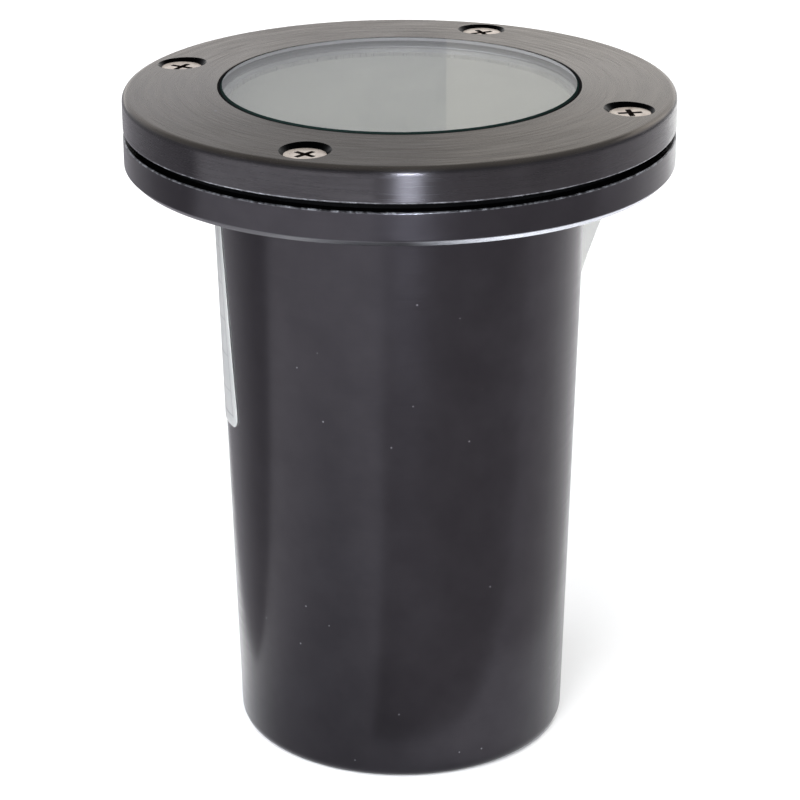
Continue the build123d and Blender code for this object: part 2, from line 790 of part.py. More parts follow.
nodes = {
    "housing": housing,
    "thread_inserts": thread_inserts,
    "flange_gasket": flange_gasket,
    "rating_label": rating_label,
    "gland_body": gland_body,
    "gland_o_ring": gland_o_ring,
    "gland_seal": gland_seal,
    "gland_cap_nut": gland_cap_nut,
    "gland_locknut": gland_locknut,
    "swivel_washer": swivel_washer,
    "gimbal_bracket": gimbal_bracket,
    "terminal_block": terminal_block,
    "terminal_clamps": terminal_clamps,
    "terminal_screws": terminal_screws,
    "lamp_leads": lamp_leads,
    "gimbal_ring": gimbal_ring,
    "pivot_screws": pivot_screws,
    "pivot_washers": pivot_washers,
    "lamp_clip": lamp_clip,
    "lamp_body": lamp_body,
    "lamp_optic": lamp_optic,
    "lamp_base": lamp_base,
    "lamp_pins": lamp_pins,
    "lamp_socket": lamp_socket,
    "socket_contacts": socket_contacts,
    "bezel_ring": bezel_ring,
    "lens": lens,
    "lens_gasket": lens_gasket,
    "lens_retainer": lens_retainer,
    "diffuser": diffuser,
    "diffuser_clip": diffuser_clip,
    "cover_screws": cover_screws,
}

os.makedirs("parts", exist_ok=True)
for name, make in nodes.items():
    made = make()
    solids = made if isinstance(made, list) else [made]
    shape = solids[0] if len(solids) == 1 else Compound(children=solids)
    export_step(shape, f"parts/{name}.step")

print("outer diameter", round(2 * rim_radius, 2), "height to bezel and glass", bezel_top, round(lens_top, 2))
print("can diameter, foot and top", round(2 * can_foot_radius, 2), round(2 * can_top_radius, 2))
print("flange foot and top", round(flange_foot, 2), round(flange_top, 2))
print("lens bore", round(2 * bezel_bore, 2), "screw circle", round(2 * screw_circle, 2))
print("pivot height", round(pivot_height, 2), "socket foot", round(socket_foot, 2))
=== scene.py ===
"""In-ground well light: a turned cover ring and glass on a tapered can, with its gland, bracket and lamp."""
import logging
import math
from dataclasses import dataclass
from enum import Enum
from typing import Any, Callable, Mapping, Sequence

import bmesh
import bpy
from mathutils import Matrix, Vector


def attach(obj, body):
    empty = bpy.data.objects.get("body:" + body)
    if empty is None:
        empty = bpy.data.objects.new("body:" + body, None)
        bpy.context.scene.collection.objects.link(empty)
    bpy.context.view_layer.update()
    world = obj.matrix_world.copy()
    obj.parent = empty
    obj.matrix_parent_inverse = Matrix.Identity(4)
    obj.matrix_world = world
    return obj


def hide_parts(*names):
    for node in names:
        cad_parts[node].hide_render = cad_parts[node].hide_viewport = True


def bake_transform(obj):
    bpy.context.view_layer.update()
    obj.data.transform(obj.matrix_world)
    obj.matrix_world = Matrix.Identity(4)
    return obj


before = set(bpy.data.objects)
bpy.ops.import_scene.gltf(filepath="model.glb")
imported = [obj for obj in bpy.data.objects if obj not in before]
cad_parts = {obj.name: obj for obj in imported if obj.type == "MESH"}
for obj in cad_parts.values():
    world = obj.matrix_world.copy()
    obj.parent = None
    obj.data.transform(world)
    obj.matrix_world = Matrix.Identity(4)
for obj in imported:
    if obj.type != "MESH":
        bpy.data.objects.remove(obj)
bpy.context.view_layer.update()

log = logging.getLogger("well_light")

MM = 0.001

# What several pieces share, in mm and degrees: the screws' circle and places, and the flat label's size.
SCREW_CIRCLE = 52.1
SCREW_AZIMUTHS = (-21.5, 68.5, 158.5, 248.5)
LABEL_LENGTH = 127.0
LABEL_HEIGHT = 50.8
LABEL_THICKNESS = 0.15

Tree = bpy.types.NodeTree
Node = bpy.types.Node
Socket = bpy.types.NodeSocket
Piece = bpy.types.Object
Span = tuple[float, float]
Point = tuple[float, float, float]
Outline = list[Span]
Faces = list[tuple[int, ...]]

# Nearly all values of a noise lie in this part of its range from 0 to 1.
MIDDLE: Span = (0.3, 0.7)


class Body(Enum):
    """The moving bodies of the light."""

    HOUSING = "housing_body"
    BRACKET = "bracket_body"
    LAMP = "lamp_head"
    COVER = "cover"
    SCREWS = "screws"


class Grain(Enum):
    """How a metal surface was made, which sets the run of its marks."""

    TURNED = "rings round the Z axis"
    ROLLED = "lines along the sheet"
    BLASTED = "even in all directions"


# ---------------------------------------------------------------- nodes and colours


def linear(code: str) -> tuple[float, float, float, float]:
    """Turns an sRGB hex colour to the linear colour that shaders take.

    Args:
        code: six hex digits with or without a leading #.

    Returns:
        Red, green, blue and an alpha of 1.
    """
    digits = code.lstrip("#")
    shares = [int(digits[i:i + 2], 16) / 255 for i in (0, 2, 4)]
    low = [s / 12.92 if s <= 0.04045 else ((s + 0.055) / 1.055) ** 2.4 for s in shares]
    return low[0], low[1], low[2], 1.0


def add_node(tree: Tree, kind: str, inputs: Mapping[str | int, Any] | None = None, **options: Any) -> Node:
    """Adds a shader node, sets it and links its inputs.

    Args:
        tree: the material's or world's node tree.
        kind: the node's type name.
        inputs: by an input's name or number, what feeds it (a socket or a node), its value or its hex colour.
        options: the node's own properties.

    Returns:
        The new node.
    """
    node = tree.nodes.new(kind)
    for option, value in options.items():
        setattr(node, option, value)
    for key, value in (inputs or {}).items():
        if isinstance(value, (Node, Socket)):
            tree.links.new(value.outputs[0] if isinstance(value, Node) else value, node.inputs[key])
        else:
            node.inputs[key].default_value = linear(value) if isinstance(value, str) else value
    return node


def node_material(name: str, shader: Callable[[Tree], Node]) -> bpy.types.Material:
    """Makes a node material.

    Args:
        name: the material's name.
        shader: builds the shader in the material's empty node tree.

    Returns:
        The material.
    """
    made = bpy.data.materials.new(name)
    made.use_nodes = True
    tree = made.node_tree
    tree.nodes.clear()
    add_node(tree, "ShaderNodeOutputMaterial", {"Surface": shader(tree)})
    return made


def by_axis(tree: Tree) -> tuple[Socket, Socket, Socket]:
    """Where a point of a turned piece lies by the light's axis.

    Args:
        tree: the node tree.

    Returns:
        Sockets for its place with no height, its distance from the axis and its height, in metres.
    """
    place = add_node(tree, "ShaderNodeTexCoord").outputs["Object"]
    flat = add_node(tree, "ShaderNodeVectorMath", {0: place, 1: (1, 1, 0)}, operation="MULTIPLY")
    radius = add_node(tree, "ShaderNodeVectorMath", {0: flat}, operation="LENGTH").outputs["Value"]
    return flat.outputs[0], radius, add_node(tree, "ShaderNodeSeparateXYZ", {0: place}).outputs["Z"]


def grain_vector(tree: Tree, grain: Grain, pitch: float, streak: float) -> Node:
    """Gives coordinates in which a plain noise becomes the marks of turning, rolling or blasting.

    Args:
        tree: the node tree.
        grain: how the surface was made.
        pitch: distance between two marks, mm.
        streak: length of one mark, mm.

    Returns:
        The node that gives the coordinates.
    """
    fine, slow = 1 / (pitch * MM), 1 / (streak * MM)
    if grain is Grain.TURNED:
        flat, radius, height = by_axis(tree)
        along = add_node(tree, "ShaderNodeMath", {0: radius, 1: height}, operation="ADD")
        ring = add_node(tree, "ShaderNodeCombineXYZ", {"Z": along})
        place: Any = add_node(tree, "ShaderNodeVectorMath", {0: flat, 1: ring}, operation="ADD")
        scale = (slow, slow, fine)
    else:
        place = add_node(tree, "ShaderNodeTexCoord").outputs["Object"]
        scale = (fine, fine, slow if grain is Grain.ROLLED else fine)
    return add_node(tree, "ShaderNodeVectorMath", {0: place, 1: scale}, operation="MULTIPLY")


def marks(
    tree: Tree, grain: Grain, pitch: float, streak: float, detail: float = 2.0, strength: float = 0.5
) -> Node:
    """The marks that making left on a surface, as a height from 0 to 1.

    Args:
        tree: the node tree.
        grain: how the surface was made.
        pitch: distance between two marks, mm.
        streak: length of one mark, mm.
        detail: how many finer layers they have.
        strength: how strong those are.

    Returns:
        The node that gives the height.
    """
    place = grain_vector(tree, grain, pitch, streak)
    settings = {"Vector": place, "Scale": 1.0, "Detail": detail, "Roughness": strength}
    return add_node(tree, "ShaderNodeTexNoise", settings)


def cloud(tree: Tree, size: float, detail: float = 2.0, strength: float = 0.5) -> Node:
    """An even drift from 0 to 1 with spots of this size in mm."""
    return marks(tree, Grain.BLASTED, size, size, detail, strength)


def shaded(tree: Tree, value: Any, span: Span, first: Any, second: Any, most: float = 1.0) -> Socket:
    """Goes from one colour to another as a value rises.

    Args:
        tree: the node tree.
        value: the socket or node that gives the value.
        span: where the change starts and ends.
        first: hex code or socket of the colour below the span.
        second: hex code or socket of the colour above it.
        most: how much of the second colour there is above it.

    Returns:
        The colour's socket.
    """
    share = add_node(tree, "ShaderNodeMapRange", {0: value, 1: span[0], 2: span[1], 4: most})
    return add_node(tree, "ShaderNodeMix", {0: share, 6: first, 7: second}, data_type="RGBA").outputs[2]


def texture(tree: Tree, height: Node, roughness: Span, depth: float) -> dict[str, Any]:
    """What a surface's marks do to its shader.

    Args:
        tree: the node tree.
        height: the marks, from 0 to 1.
        roughness: the shader's roughness at their foot and at their top.
        depth: how deep they are, mm.

    Returns:
        The shader's inputs for roughness and normal.
    """
    rough = add_node(tree, "ShaderNodeMapRange", {
        0: height, 1: MIDDLE[0], 2: MIDDLE[1], 3: roughness[0], 4: roughness[1],
    })
    relief = add_node(tree, "ShaderNodeBump", {"Height": height, "Strength": 1.0, "Distance": depth * MM})
    return {"Roughness": rough, "Normal": relief}


# ---------------------------------------------------------------- finishes


@dataclass(frozen=True)
class Finish:
    """What a piece is made of and how its surface was made. Each kind of finish has its own shader."""

    name: str
    slot: str

    def shader(self, tree: Tree) -> Node:
        """The finish's shader, built in this node tree."""
        raise NotImplementedError

    def material(self) -> bpy.types.Material:
        """The finish's material, made once."""
        return bpy.data.materials.get(self.name) or node_material(self.name, self.shader)


@dataclass(frozen=True)
class Metal(Finish):
    """A metal surface with the marks of how it was made, sizes in mm."""

    dark: str
    light: str
    roughness: Span
    grain: Grain = Grain.BLASTED
    pitch: float = 0.4
    streak: float = 6.0
    depth: float = 0.003
    anisotropy: float = 0.0
    mottle: float = 9.0
    metallic: float = 1.0
    # Colour of painted shade on the recess faces marked for it; empty for none.
    recess_shade: str = ""

    def base_colour(self, tree: Tree) -> Socket:
        """The metal's colour, mottled between its dark and its light tone."""
        return shaded(tree, cloud(tree, self.mottle, 4.0, 0.6), (0.35, 0.65), self.dark, self.light)

    def metal_share(self, tree: Tree) -> Node | float:
        """How metallic the surface is, here the same all over."""
        return self.metallic

    def shader(self, tree: Tree) -> Node:
        """Builds the shader, with painted shade over the recess faces that were marked for it.

        Args:
            tree: the node tree.

        Returns:
            The shader.
        """
        height = marks(tree, self.grain, self.pitch, self.streak, 2.0, 0.6)
        colour = self.base_colour(tree)
        # Painted shade: the marked recess faces take the dark colour.
        if self.recess_shade:
            mark = add_node(tree, "ShaderNodeAttribute", attribute_name="recess_shade").outputs["Fac"]
            covered = add_node(tree, "ShaderNodeMix", {0: mark, 6: colour, 7: self.recess_shade}, data_type="RGBA")
            colour = covered.outputs[2]
        inputs = {
            "Base Color": colour, "Metallic": self.metal_share(tree), "Anisotropic": self.anisotropy,
            **texture(tree, height, self.roughness, self.depth),
        }
        if self.anisotropy:
            inputs["Tangent"] = add_node(tree, "ShaderNodeTangent", direction_type="RADIAL", axis="Z")
            inputs["Anisotropic Rotation"] = 0.25
        return add_node(tree, "ShaderNodeBsdfPrincipled", inputs)


@dataclass(frozen=True)
class EdgeWearAndHighlight:
    """A pale line along a turned edge, part wear and part painted highlight: the edge's radius and height,
    its width in mm and how pale it is.

    With a side given, an azimuth in degrees, the line is a painted highlight on that side of the ring and
    faint elsewhere.
    """

    radius: float
    height: float
    width: float
    paleness: float
    side: float | None = None


@dataclass(frozen=True)
class WornAnodising(Metal):
    """Dyed anodised aluminium: dark, with dust on it, painted light on its upward faces and pale edge lines
    of wear and painted highlight, sizes in mm.
    """

    # The upward faces' tone is painted light: as set here, a browner painted reflection; the can sets it
    # darker as painted shade.
    painted_top_dark: str = "#736D67"
    painted_top_light: str = "#827B74"
    top_pitch: float = 1.4
    top_streak: float = 22.0
    # Pale colour of the edge lines, part wear and part painted highlight, and how metallic they are.
    wear_and_highlight: str = "#D3D6DE"
    edge_line_patch: float = 1.6
    wear_and_highlight_metallic: float = 0.25
    edge_wear_and_highlights: tuple[EdgeWearAndHighlight, ...] = ()
    dust: str = "#8F8D94"
    dust_spacing: float = 5.0
    dust_size: float = 0.05
    smear: str = "#6B6B73"
    smear_size: float = 26.0
    smear_strength: float = 0.0

    def base_colour(self, tree: Tree) -> Socket:
        """The dyed layer, with painted light on its upward faces (a lighter, browner painted reflection on
        the ring, darker painted shade on the can), and smears, dust and pale edge lines of wear and painted
        highlight over it.

        Args:
            tree: the node tree.

        Returns:
            The colour's socket.
        """
        side = super().base_colour(tree)
        streaks = marks(tree, self.grain, self.top_pitch, self.top_streak, 3.0, 0.6)
        top = shaded(tree, streaks, MIDDLE, self.painted_top_dark, self.painted_top_light)
        # Painted light: the upward faces take the top tone.
        normal = add_node(tree, "ShaderNodeNewGeometry").outputs["Normal"]
        upward = add_node(tree, "ShaderNodeSeparateXYZ", {0: normal}).outputs["Z"]
        colour = shaded(tree, upward, (0.4, 0.9), side, top)
        if self.smear_strength:
            film = cloud(tree, self.smear_size, 6.0, 0.65)
            colour = shaded(tree, film, (0.5, 0.72), colour, self.smear, self.smear_strength)
        covers = [(self.dust_specks(tree), self.dust)]
        covers += [(self.pale_edge_line(tree, edge), self.wear_and_highlight) for edge in self.edge_wear_and_highlights]
        for share, paler in covers:
            covered = add_node(tree, "ShaderNodeMix", {0: share, 6: colour, 7: paler}, data_type="RGBA")
            colour = covered.outputs[2]
        return colour

    def metal_share(self, tree: Tree) -> Node | float:
        """How metallic the surface is: less on the pale edge lines, so that their colour shows as wear and
        painted highlight.

        Args:
            tree: the node tree.

        Returns:
            The node that gives the share.
        """
        paleness: Node | float = 0.0
        for edge in self.edge_wear_and_highlights:
            pale_edge_line = self.pale_edge_line(tree, edge)
            paleness = add_node(tree, "ShaderNodeMath", {0: paleness, 1: pale_edge_line}, operation="MAXIMUM")
        return add_node(tree, "ShaderNodeMapRange", {0: paleness, 3: self.metallic, 4: self.wear_and_highlight_metallic})

    def dust_specks(self, tree: Tree) -> Node:
        """Grains of dust: small dots in some of the cells of a loose pattern.

        Args:
            tree: the node tree.

        Returns:
            The node that gives nearly 1 on a grain and 0 off it.
        """
        place = grain_vector(tree, Grain.BLASTED, self.dust_spacing, self.dust_spacing)
        cells = add_node(tree, "ShaderNodeTexVoronoi", {"Vector": place, "Scale": 1.0})
        dot = add_node(tree, "ShaderNodeMapRange", {
            0: cells.outputs["Distance"], 1: 0.6 * self.dust_size, 2: self.dust_size, 3: 0.8, 4: 0.0,
        })
        which = add_node(tree, "ShaderNodeSeparateXYZ", {0: cells.outputs["Color"]}).outputs["X"]
        chosen = add_node(tree, "ShaderNodeMapRange", {0: which, 1: 0.45, 2: 0.5})
        return add_node(tree, "ShaderNodeMath", {0: dot, 1: chosen}, operation="MULTIPLY")

    def pale_edge_line(self, tree: Tree, edge: EdgeWearAndHighlight) -> Node:
        """Wear and painted highlight along one turned edge.

        Args:
            tree: the node tree.
            edge: where the wear is.

        Returns:
            The node that gives how pale the edge is painted, from 0 to 1.
        """
        flat, radius, height = by_axis(tree)
        here = add_node(tree, "ShaderNodeCombineXYZ", {"X": radius, "Y": height})
        line = (edge.radius * MM, edge.height * MM, 0)
        away = add_node(tree, "ShaderNodeVectorMath", {0: here, 1: line}, operation="DISTANCE")
        near = add_node(tree, "ShaderNodeMapRange", {
            0: away.outputs["Value"], 1: 0.7 * edge.width * MM, 2: edge.width * MM, 3: 1.0, 4: 0.0,
        })
        patches = cloud(tree, self.edge_line_patch, 5.0, 0.7)
        share = add_node(tree, "ShaderNodeMapRange", {
            0: patches, 1: 0.42, 2: 0.62, 3: edge.paleness ** 3, 4: edge.paleness,
        })
        # With a side given, the line is a painted highlight on that side only, faint elsewhere.
        if edge.side is not None:
            side = math.radians(edge.side)
            way = (math.cos(side) / (edge.radius * MM), math.sin(side) / (edge.radius * MM), 0)
            facing = add_node(tree, "ShaderNodeVectorMath", {0: flat, 1: way}, operation="DOT_PRODUCT")
            lit_side = add_node(tree, "ShaderNodeMapRange", {
                0: facing.outputs["Value"], 1: 0.8, 2: 0.96, 3: 0.12, 4: 1.0,
            })
            share = add_node(tree, "ShaderNodeMath", {0: share, 1: lit_side}, operation="MULTIPLY")
        return add_node(tree, "ShaderNodeMath", {0: near, 1: share}, operation="MULTIPLY")


@dataclass(frozen=True)
class Moulded(Finish):
    """Rubber, plastic, ceramic or frosted glass with a fine even texture, sizes in mm."""

    dark: str
    light: str
    roughness: Span = (0.4, 0.55)
    grit: float = 0.5
    depth: float = 0.01
    mottle: float = 12.0
    ior: float = 1.5
    subsurface: float = 0.0
    transmission: float = 0.0

    def shader(self, tree: Tree) -> Node:
        """Builds the shader.

        Args:
            tree: the node tree.

        Returns:
            The shader.
        """
        drift = cloud(tree, self.mottle, 3.0, 0.5)
        return add_node(tree, "ShaderNodeBsdfPrincipled", {
            "Base Color": shaded(tree, drift, MIDDLE, self.dark, self.light), "IOR": self.ior,
            "Subsurface Weight": self.subsurface, "Subsurface Scale": 2 * MM,
            "Transmission Weight": self.transmission,
            **texture(tree, cloud(tree, self.grit, 3.0, 0.6), self.roughness, self.depth),
        })


@dataclass(frozen=True)
class Glass(Finish):
    """Clear toughened glass with faint smears, its edge ground and partly blackened, sizes in mm."""

    tint: str = "#F5F7F4"
    ior: float = 1.52
    roughness: Span = (0.0, 0.03)
    smear_length: float = 30.0
    ground: str = "#B2B2BA"
    ground_roughness: Span = (0.45, 0.6)
    ground_grit: float = 0.3
    ground_depth: float = 0.005
    ground_radius: float = 38.4
    ground_foot: float = 144.8
    blackened: str = "#182422"
    blackened_foot: float = 149.1
    radius_blend: float = 0.03
    height_blend: float = 0.1

    def shader(self, tree: Tree) -> Node:
        """Builds the shader: clear on the faces, and matt on the ground edge.

        Args:
            tree: the node tree.

        Returns:
            The shader.
        """
        smears = cloud(tree, self.smear_length, 5.0, 0.6)
        rough = add_node(tree, "ShaderNodeMapRange", {
            0: smears, 1: 0.45, 2: 0.75, 3: self.roughness[0], 4: self.roughness[1],
        })
        clear = add_node(tree, "ShaderNodeBsdfPrincipled", {
            "Base Color": self.tint, "IOR": self.ior, "Transmission Weight": 1.0, "Roughness": rough,
        })
        radius, height = by_axis(tree)[1:]
        black_span = ((self.blackened_foot - self.height_blend) * MM, self.blackened_foot * MM)
        grit = cloud(tree, self.ground_grit)
        edge = add_node(tree, "ShaderNodeBsdfPrincipled", {
            "Base Color": shaded(tree, height, black_span, self.ground, self.blackened),
            "IOR": self.ior, "Specular IOR Level": 0.0,
            **texture(tree, grit, self.ground_roughness, self.ground_depth),
        })
        outside = add_node(tree, "ShaderNodeMapRange", {
            0: radius, 1: (self.ground_radius - self.radius_blend) * MM, 2: self.ground_radius * MM,
        })
        above = add_node(tree, "ShaderNodeMapRange", {
            0: height, 1: (self.ground_foot - self.height_blend) * MM, 2: self.ground_foot * MM,
        })
        rim = add_node(tree, "ShaderNodeMath", {0: outside, 1: above}, operation="MULTIPLY")
        return add_node(tree, "ShaderNodeMixShader", {0: rim, 1: clear, 2: edge})


@dataclass(frozen=True)
class PrintedFilm(Finish):
    """White label film with a ruled blank form printed on its outer face, sizes in mm."""

    paper: str = "#F1F1F0"
    shade: str = "#E6E8E8"
    ink: str = "#5E666C"
    ior: float = 1.48
    roughness: Span = (0.38, 0.5)
    fibre: float = 0.6
    depth: float = 0.004
    mottle: float = 14.0
    margin: float = 2.6
    line: float = 0.35
    row: float = 8.2
    translucency: float = 0.66

    def shader(self, tree: Tree) -> Node:
        """Builds the shader; the strip's own coordinates come with its mesh.

        Args:
            tree: the node tree.

        Returns:
            The shader.
        """
        strip = add_node(tree, "ShaderNodeAttribute", attribute_name="strip").outputs["Vector"]
        along, up, out = add_node(tree, "ShaderNodeSeparateXYZ", {0: strip}).outputs
        ends, off_ends = self.border(tree, along, LABEL_LENGTH)
        sides, off_sides = self.border(tree, up, LABEL_HEIGHT)
        rows = add_node(tree, "ShaderNodeMath", {0: up, 1: self.row / 2}, operation="PINGPONG")
        rules = add_node(tree, "ShaderNodeMapRange", {
            0: rows, 1: 0.4 * self.line, 2: 0.7 * self.line, 3: 0.5, 4: 0.0,
        })
        inside = add_node(tree, "ShaderNodeMath", {0: off_ends, 1: off_sides}, operation="MINIMUM")
        outer = add_node(tree, "ShaderNodeMapRange", {0: out, 2: LABEL_THICKNESS})
        drawn = ends
        for operation, other in (
            ("MAXIMUM", sides), ("MAXIMUM", rules), ("MULTIPLY", inside), ("MULTIPLY", outer),
        ):
            drawn = add_node(tree, "ShaderNodeMath", {0: drawn, 1: other}, operation=operation)
        paper = shaded(tree, cloud(tree, self.mottle, 3.0, 0.6), MIDDLE, self.paper, self.shade)
        printed = add_node(tree, "ShaderNodeMix", {0: drawn, 6: paper, 7: self.ink}, data_type="RGBA")
        sheet = add_node(tree, "ShaderNodeBsdfPrincipled", {
            "Base Color": printed.outputs[2], "IOR": self.ior,
            **texture(tree, cloud(tree, self.fibre, 3.0, 0.6), self.roughness, self.depth),
        })
        glow = add_node(tree, "ShaderNodeBsdfTranslucent", {"Color": self.paper})
        return add_node(tree, "ShaderNodeMixShader", {0: self.translucency, 1: sheet, 2: glow})

    def border(self, tree: Tree, place: Socket, size: float) -> tuple[Node, Node]:
        """The printed border across one direction of the label.

        Args:
            tree: the node tree.
            place: the coordinate in that direction, mm.
            size: the label's size in it, mm.

        Returns:
            A node that gives the ink on the two border lines, and one that gives 1 inside them and 0 outside.
        """
        edge = size / 2 - self.margin
        middle = add_node(tree, "ShaderNodeMath", {0: place, 1: size / 2}, operation="SUBTRACT")
        away = add_node(tree, "ShaderNodeMath", {0: middle}, operation="ABSOLUTE")
        past = add_node(tree, "ShaderNodeMath", {0: away, 1: edge}, operation="SUBTRACT")
        off = add_node(tree, "ShaderNodeMath", {0: past}, operation="ABSOLUTE")
        line = add_node(tree, "ShaderNodeMapRange", {
            0: off, 1: 0.4 * self.line, 2: 0.7 * self.line, 3: 0.8, 4: 0.0,
        })
        inside = add_node(tree, "ShaderNodeMapRange", {
            0: away, 1: edge + self.line, 2: edge + 1.5 * self.line, 3: 1.0, 4: 0.0,
        })
        return line, inside


# Black anodised aluminium, fine turned: satin, near black, with a soft sheen drawn out by the tool's rings.
# The rings are 0.1 mm apart on such a ring, too fine to show, so they are drawn 0.45 mm apart.
# Its upward faces carry a browner painted reflection, its countersinks near black painted shade, and its
# lower edge a pale line of wear and painted highlight.
COVER_METAL = WornAnodising(
    "black anodised aluminium, turned", "bezel_metal", "#413F42", "#474548", (0.2, 0.31), Grain.TURNED,
    pitch=0.45, streak=14.0, depth=0.0025, anisotropy=0.85,
    edge_wear_and_highlights=(EdgeWearAndHighlight(60.0, 141.6, 0.45, 0.5),), dust_spacing=9.0, recess_shade="#0C0C0D",
)
# Black anodised aluminium casting, machined all over: smoother than the ring, and dusty from handling.
# Its upward faces are painted darker as shade, as the flange's top lies under the ring; the flange's top edge
# has a pale line of wear and painted highlight, and its lower chamfer a painted highlight on the right-front
# side.
CAN_METAL = WornAnodising(
    "black anodised aluminium, machined casting", "can_coat", "#38363A", "#3C3A3E", (0.22, 0.27),
    Grain.TURNED, pitch=0.6, streak=20.0, depth=0.0004, anisotropy=0.3, painted_top_dark="#1C1B1C",
    painted_top_light="#232223", smear_strength=0.05,
    edge_wear_and_highlights=(EdgeWearAndHighlight(60.0, 140.0, 0.4, 0.4), EdgeWearAndHighlight(59.35, 133.15, 1.05, 0.97, -52.0)),
)
# Stainless steel, cold headed: bright and a little warm, with the soft marks of the die.
# Its cross recesses are painted dark as shade.
SCREW_STEEL = Metal(
    "stainless steel, cold headed", "screw_steel", "#C6B9AE", "#E2D7CC", (0.26, 0.42), pitch=0.5, depth=0.006,
    mottle=2.0, metallic=0.6, recess_shade="#1C1410",
)
# Stainless steel, drawn wire and turned bushes: bright with a fine lengthwise line.
STAINLESS = Metal(
    "stainless steel, drawn", "stainless", "#A9A7A4", "#C4C2BF", (0.25, 0.38), Grain.ROLLED, pitch=0.3,
    mottle=5.0,
)
# Mild steel strip, zinc plated: cool blue grey with a faint crystal mottle.
ZINC_STEEL = Metal(
    "zinc plated steel, rolled", "zinc_steel", "#9CA3AA", "#BAC0C6", (0.3, 0.5), Grain.ROLLED, pitch=0.5,
    streak=18.0, depth=0.004, mottle=3.0,
)
# Aluminium, turned and left satin: pale grey, with rings 0.35 mm apart to show.
SATIN_ALUMINIUM = Metal(
    "satin aluminium, turned", "satin_aluminium", "#9C9CA2", "#ACACB2", (0.34, 0.46), Grain.TURNED,
    pitch=0.35, streak=12.0, anisotropy=0.4, mottle=12.0,
)
# Aluminium, pressure cast and bead blasted: the lamp's heat sink, dull silver grey.
LAMP_ALUMINIUM = Metal(
    "cast aluminium, bead blasted", "lamp_aluminium", "#A2A4A6", "#B7B9BB", (0.42, 0.58), pitch=0.35,
    depth=0.008,
)
# Brass, turned: warm yellow, a little dulled by handling.
BRASS = Metal(
    "brass, turned", "brass", "#B08D4A", "#C7A662", (0.28, 0.42), Grain.TURNED, pitch=0.35, streak=5.0,
    mottle=3.0,
)
# Brass, tinned: the pins and contacts, soft white metal.
TINNED_BRASS = Metal(
    "tinned brass, drawn", "tinned_brass", "#B4B3AC", "#CFCEC8", (0.24, 0.36), Grain.ROLLED, pitch=0.25,
    mottle=2.0,
)
# EPDM rubber, moulded: black and dull, with a faint bloom.
RUBBER = Moulded(
    "EPDM rubber, moulded", "black_rubber", "#09090A", "#0F0F10", (0.8, 0.9), grit=0.35, depth=0.01, ior=1.12,
)
# Soda lime glass, toughened and ground at the edge: clear, faintly green.
LENS_GLASS = Glass("toughened soda lime glass, ground", "lens_glass")
# Soda lime glass, sandblasted: milky and matt, it hides the lamp.
FROSTED_GLASS = Moulded(
    "soda lime glass, sandblasted", "frosted_glass", "#B8B6AB", "#C0BEB3", (0.55, 0.7), grit=0.4, depth=0.006,
    ior=1.52, transmission=0.1,
)
# Vinyl film, printed: the rating label's white sheet with a ruled blank form.
LABEL_FILM = PrintedFilm("vinyl film, printed", "label_film")
# PA6 nylon, moulded: black with the mould's fine spark texture.
BLACK_NYLON = Moulded(
    "PA6 nylon, moulded black", "black_nylon", "#1B1B1C", "#252526", grit=0.4, depth=0.012, ior=1.53,
)
# PA66 nylon, moulded: cream white, light passes a little way into it.
WHITE_NYLON = Moulded(
    "PA66 nylon, moulded white", "white_nylon", "#DDD9CC", "#E8E4D8", grit=0.5, ior=1.53, subsurface=0.15,
)
# Silicone rubber, extruded: the leads' white insulation, soft and waxy.
LEAD_SILICONE = Moulded(
    "silicone rubber, extruded", "lead_silicone", "#D8D3C8", "#E5E1D7", (0.45, 0.6), grit=0.6, depth=0.006,
    ior=1.41, subsurface=0.2,
)
# Polycarbonate, moulded clear: the lamp's optic, a bright cluster of small lenses.
LAMP_OPTIC = Moulded(
    "polycarbonate, moulded clear", "lamp_optic", "#F2F2EC", "#FBFBF6", (0.05, 0.14), grit=2.0, depth=0.002,
    ior=1.58, transmission=0.85,
)
# PBT, moulded: the lamp's base, matt pale grey.
LAMP_PLASTIC = Moulded("PBT plastic, moulded", "lamp_plastic", "#C9C8C2", "#D6D5CF", (0.45, 0.6), ior=1.55)
# Steatite, pressed and fired: the socket's body, chalky with a dull glaze.
STEATITE = Moulded(
    "steatite ceramic, pressed and fired", "steatite", "#D9D2C2", "#E6E0D2", (0.35, 0.55), grit=0.3,
    depth=0.02, ior=1.6, subsurface=0.1,
)


# ---------------------------------------------------------------- meshes


@dataclass(frozen=True)
class Corner:
    """A corner of a turned outline: its radius, its height and how much it is rounded, mm."""

    radius: float
    height: float
    round: float = 0.0


def rounded(corners: Sequence[Corner], steps: int = 6, guard: float = 0.25) -> Outline:
    """Rounds an outline's corners.

    Args:
        corners: the closed outline.
        steps: points on each arc, less one.
        guard: distance of an extra point beside each arc, so that its shading stays on the arc, mm.

    Returns:
        Points of radius and height, mm.
    """
    points: Outline = []
    for i, corner in enumerate(corners):
        here = Vector((corner.radius, corner.height))
        if not corner.round:
            points.append(tuple(here))
            continue
        before, after = corners[i - 1], corners[(i + 1) % len(corners)]
        back = Vector((before.radius, before.height)) - here
        ahead = Vector((after.radius, after.height)) - here
        room = min(back.length, ahead.length)
        back.normalize()
        ahead.normalize()
        angle = back.angle(ahead)
        reach = corner.round / math.tan(angle / 2)
        centre = here + (back + ahead).normalized() * corner.round / math.sin(angle / 2)
        first, last = here + back * reach - centre, here + ahead * reach - centre
        sweep = math.pi - angle
        beside = reach + guard
        if beside < room * 0.5:
            points.append(tuple(here + back * beside))
        for k in range(steps + 1):
            share = k / steps
            arm = (first * math.sin((1 - share) * sweep) + last * math.sin(share * sweep)) / math.sin(sweep)
            points.append(tuple(centre + arm))
        if beside < room * 0.5:
            points.append(tuple(here + ahead * beside))
    return points


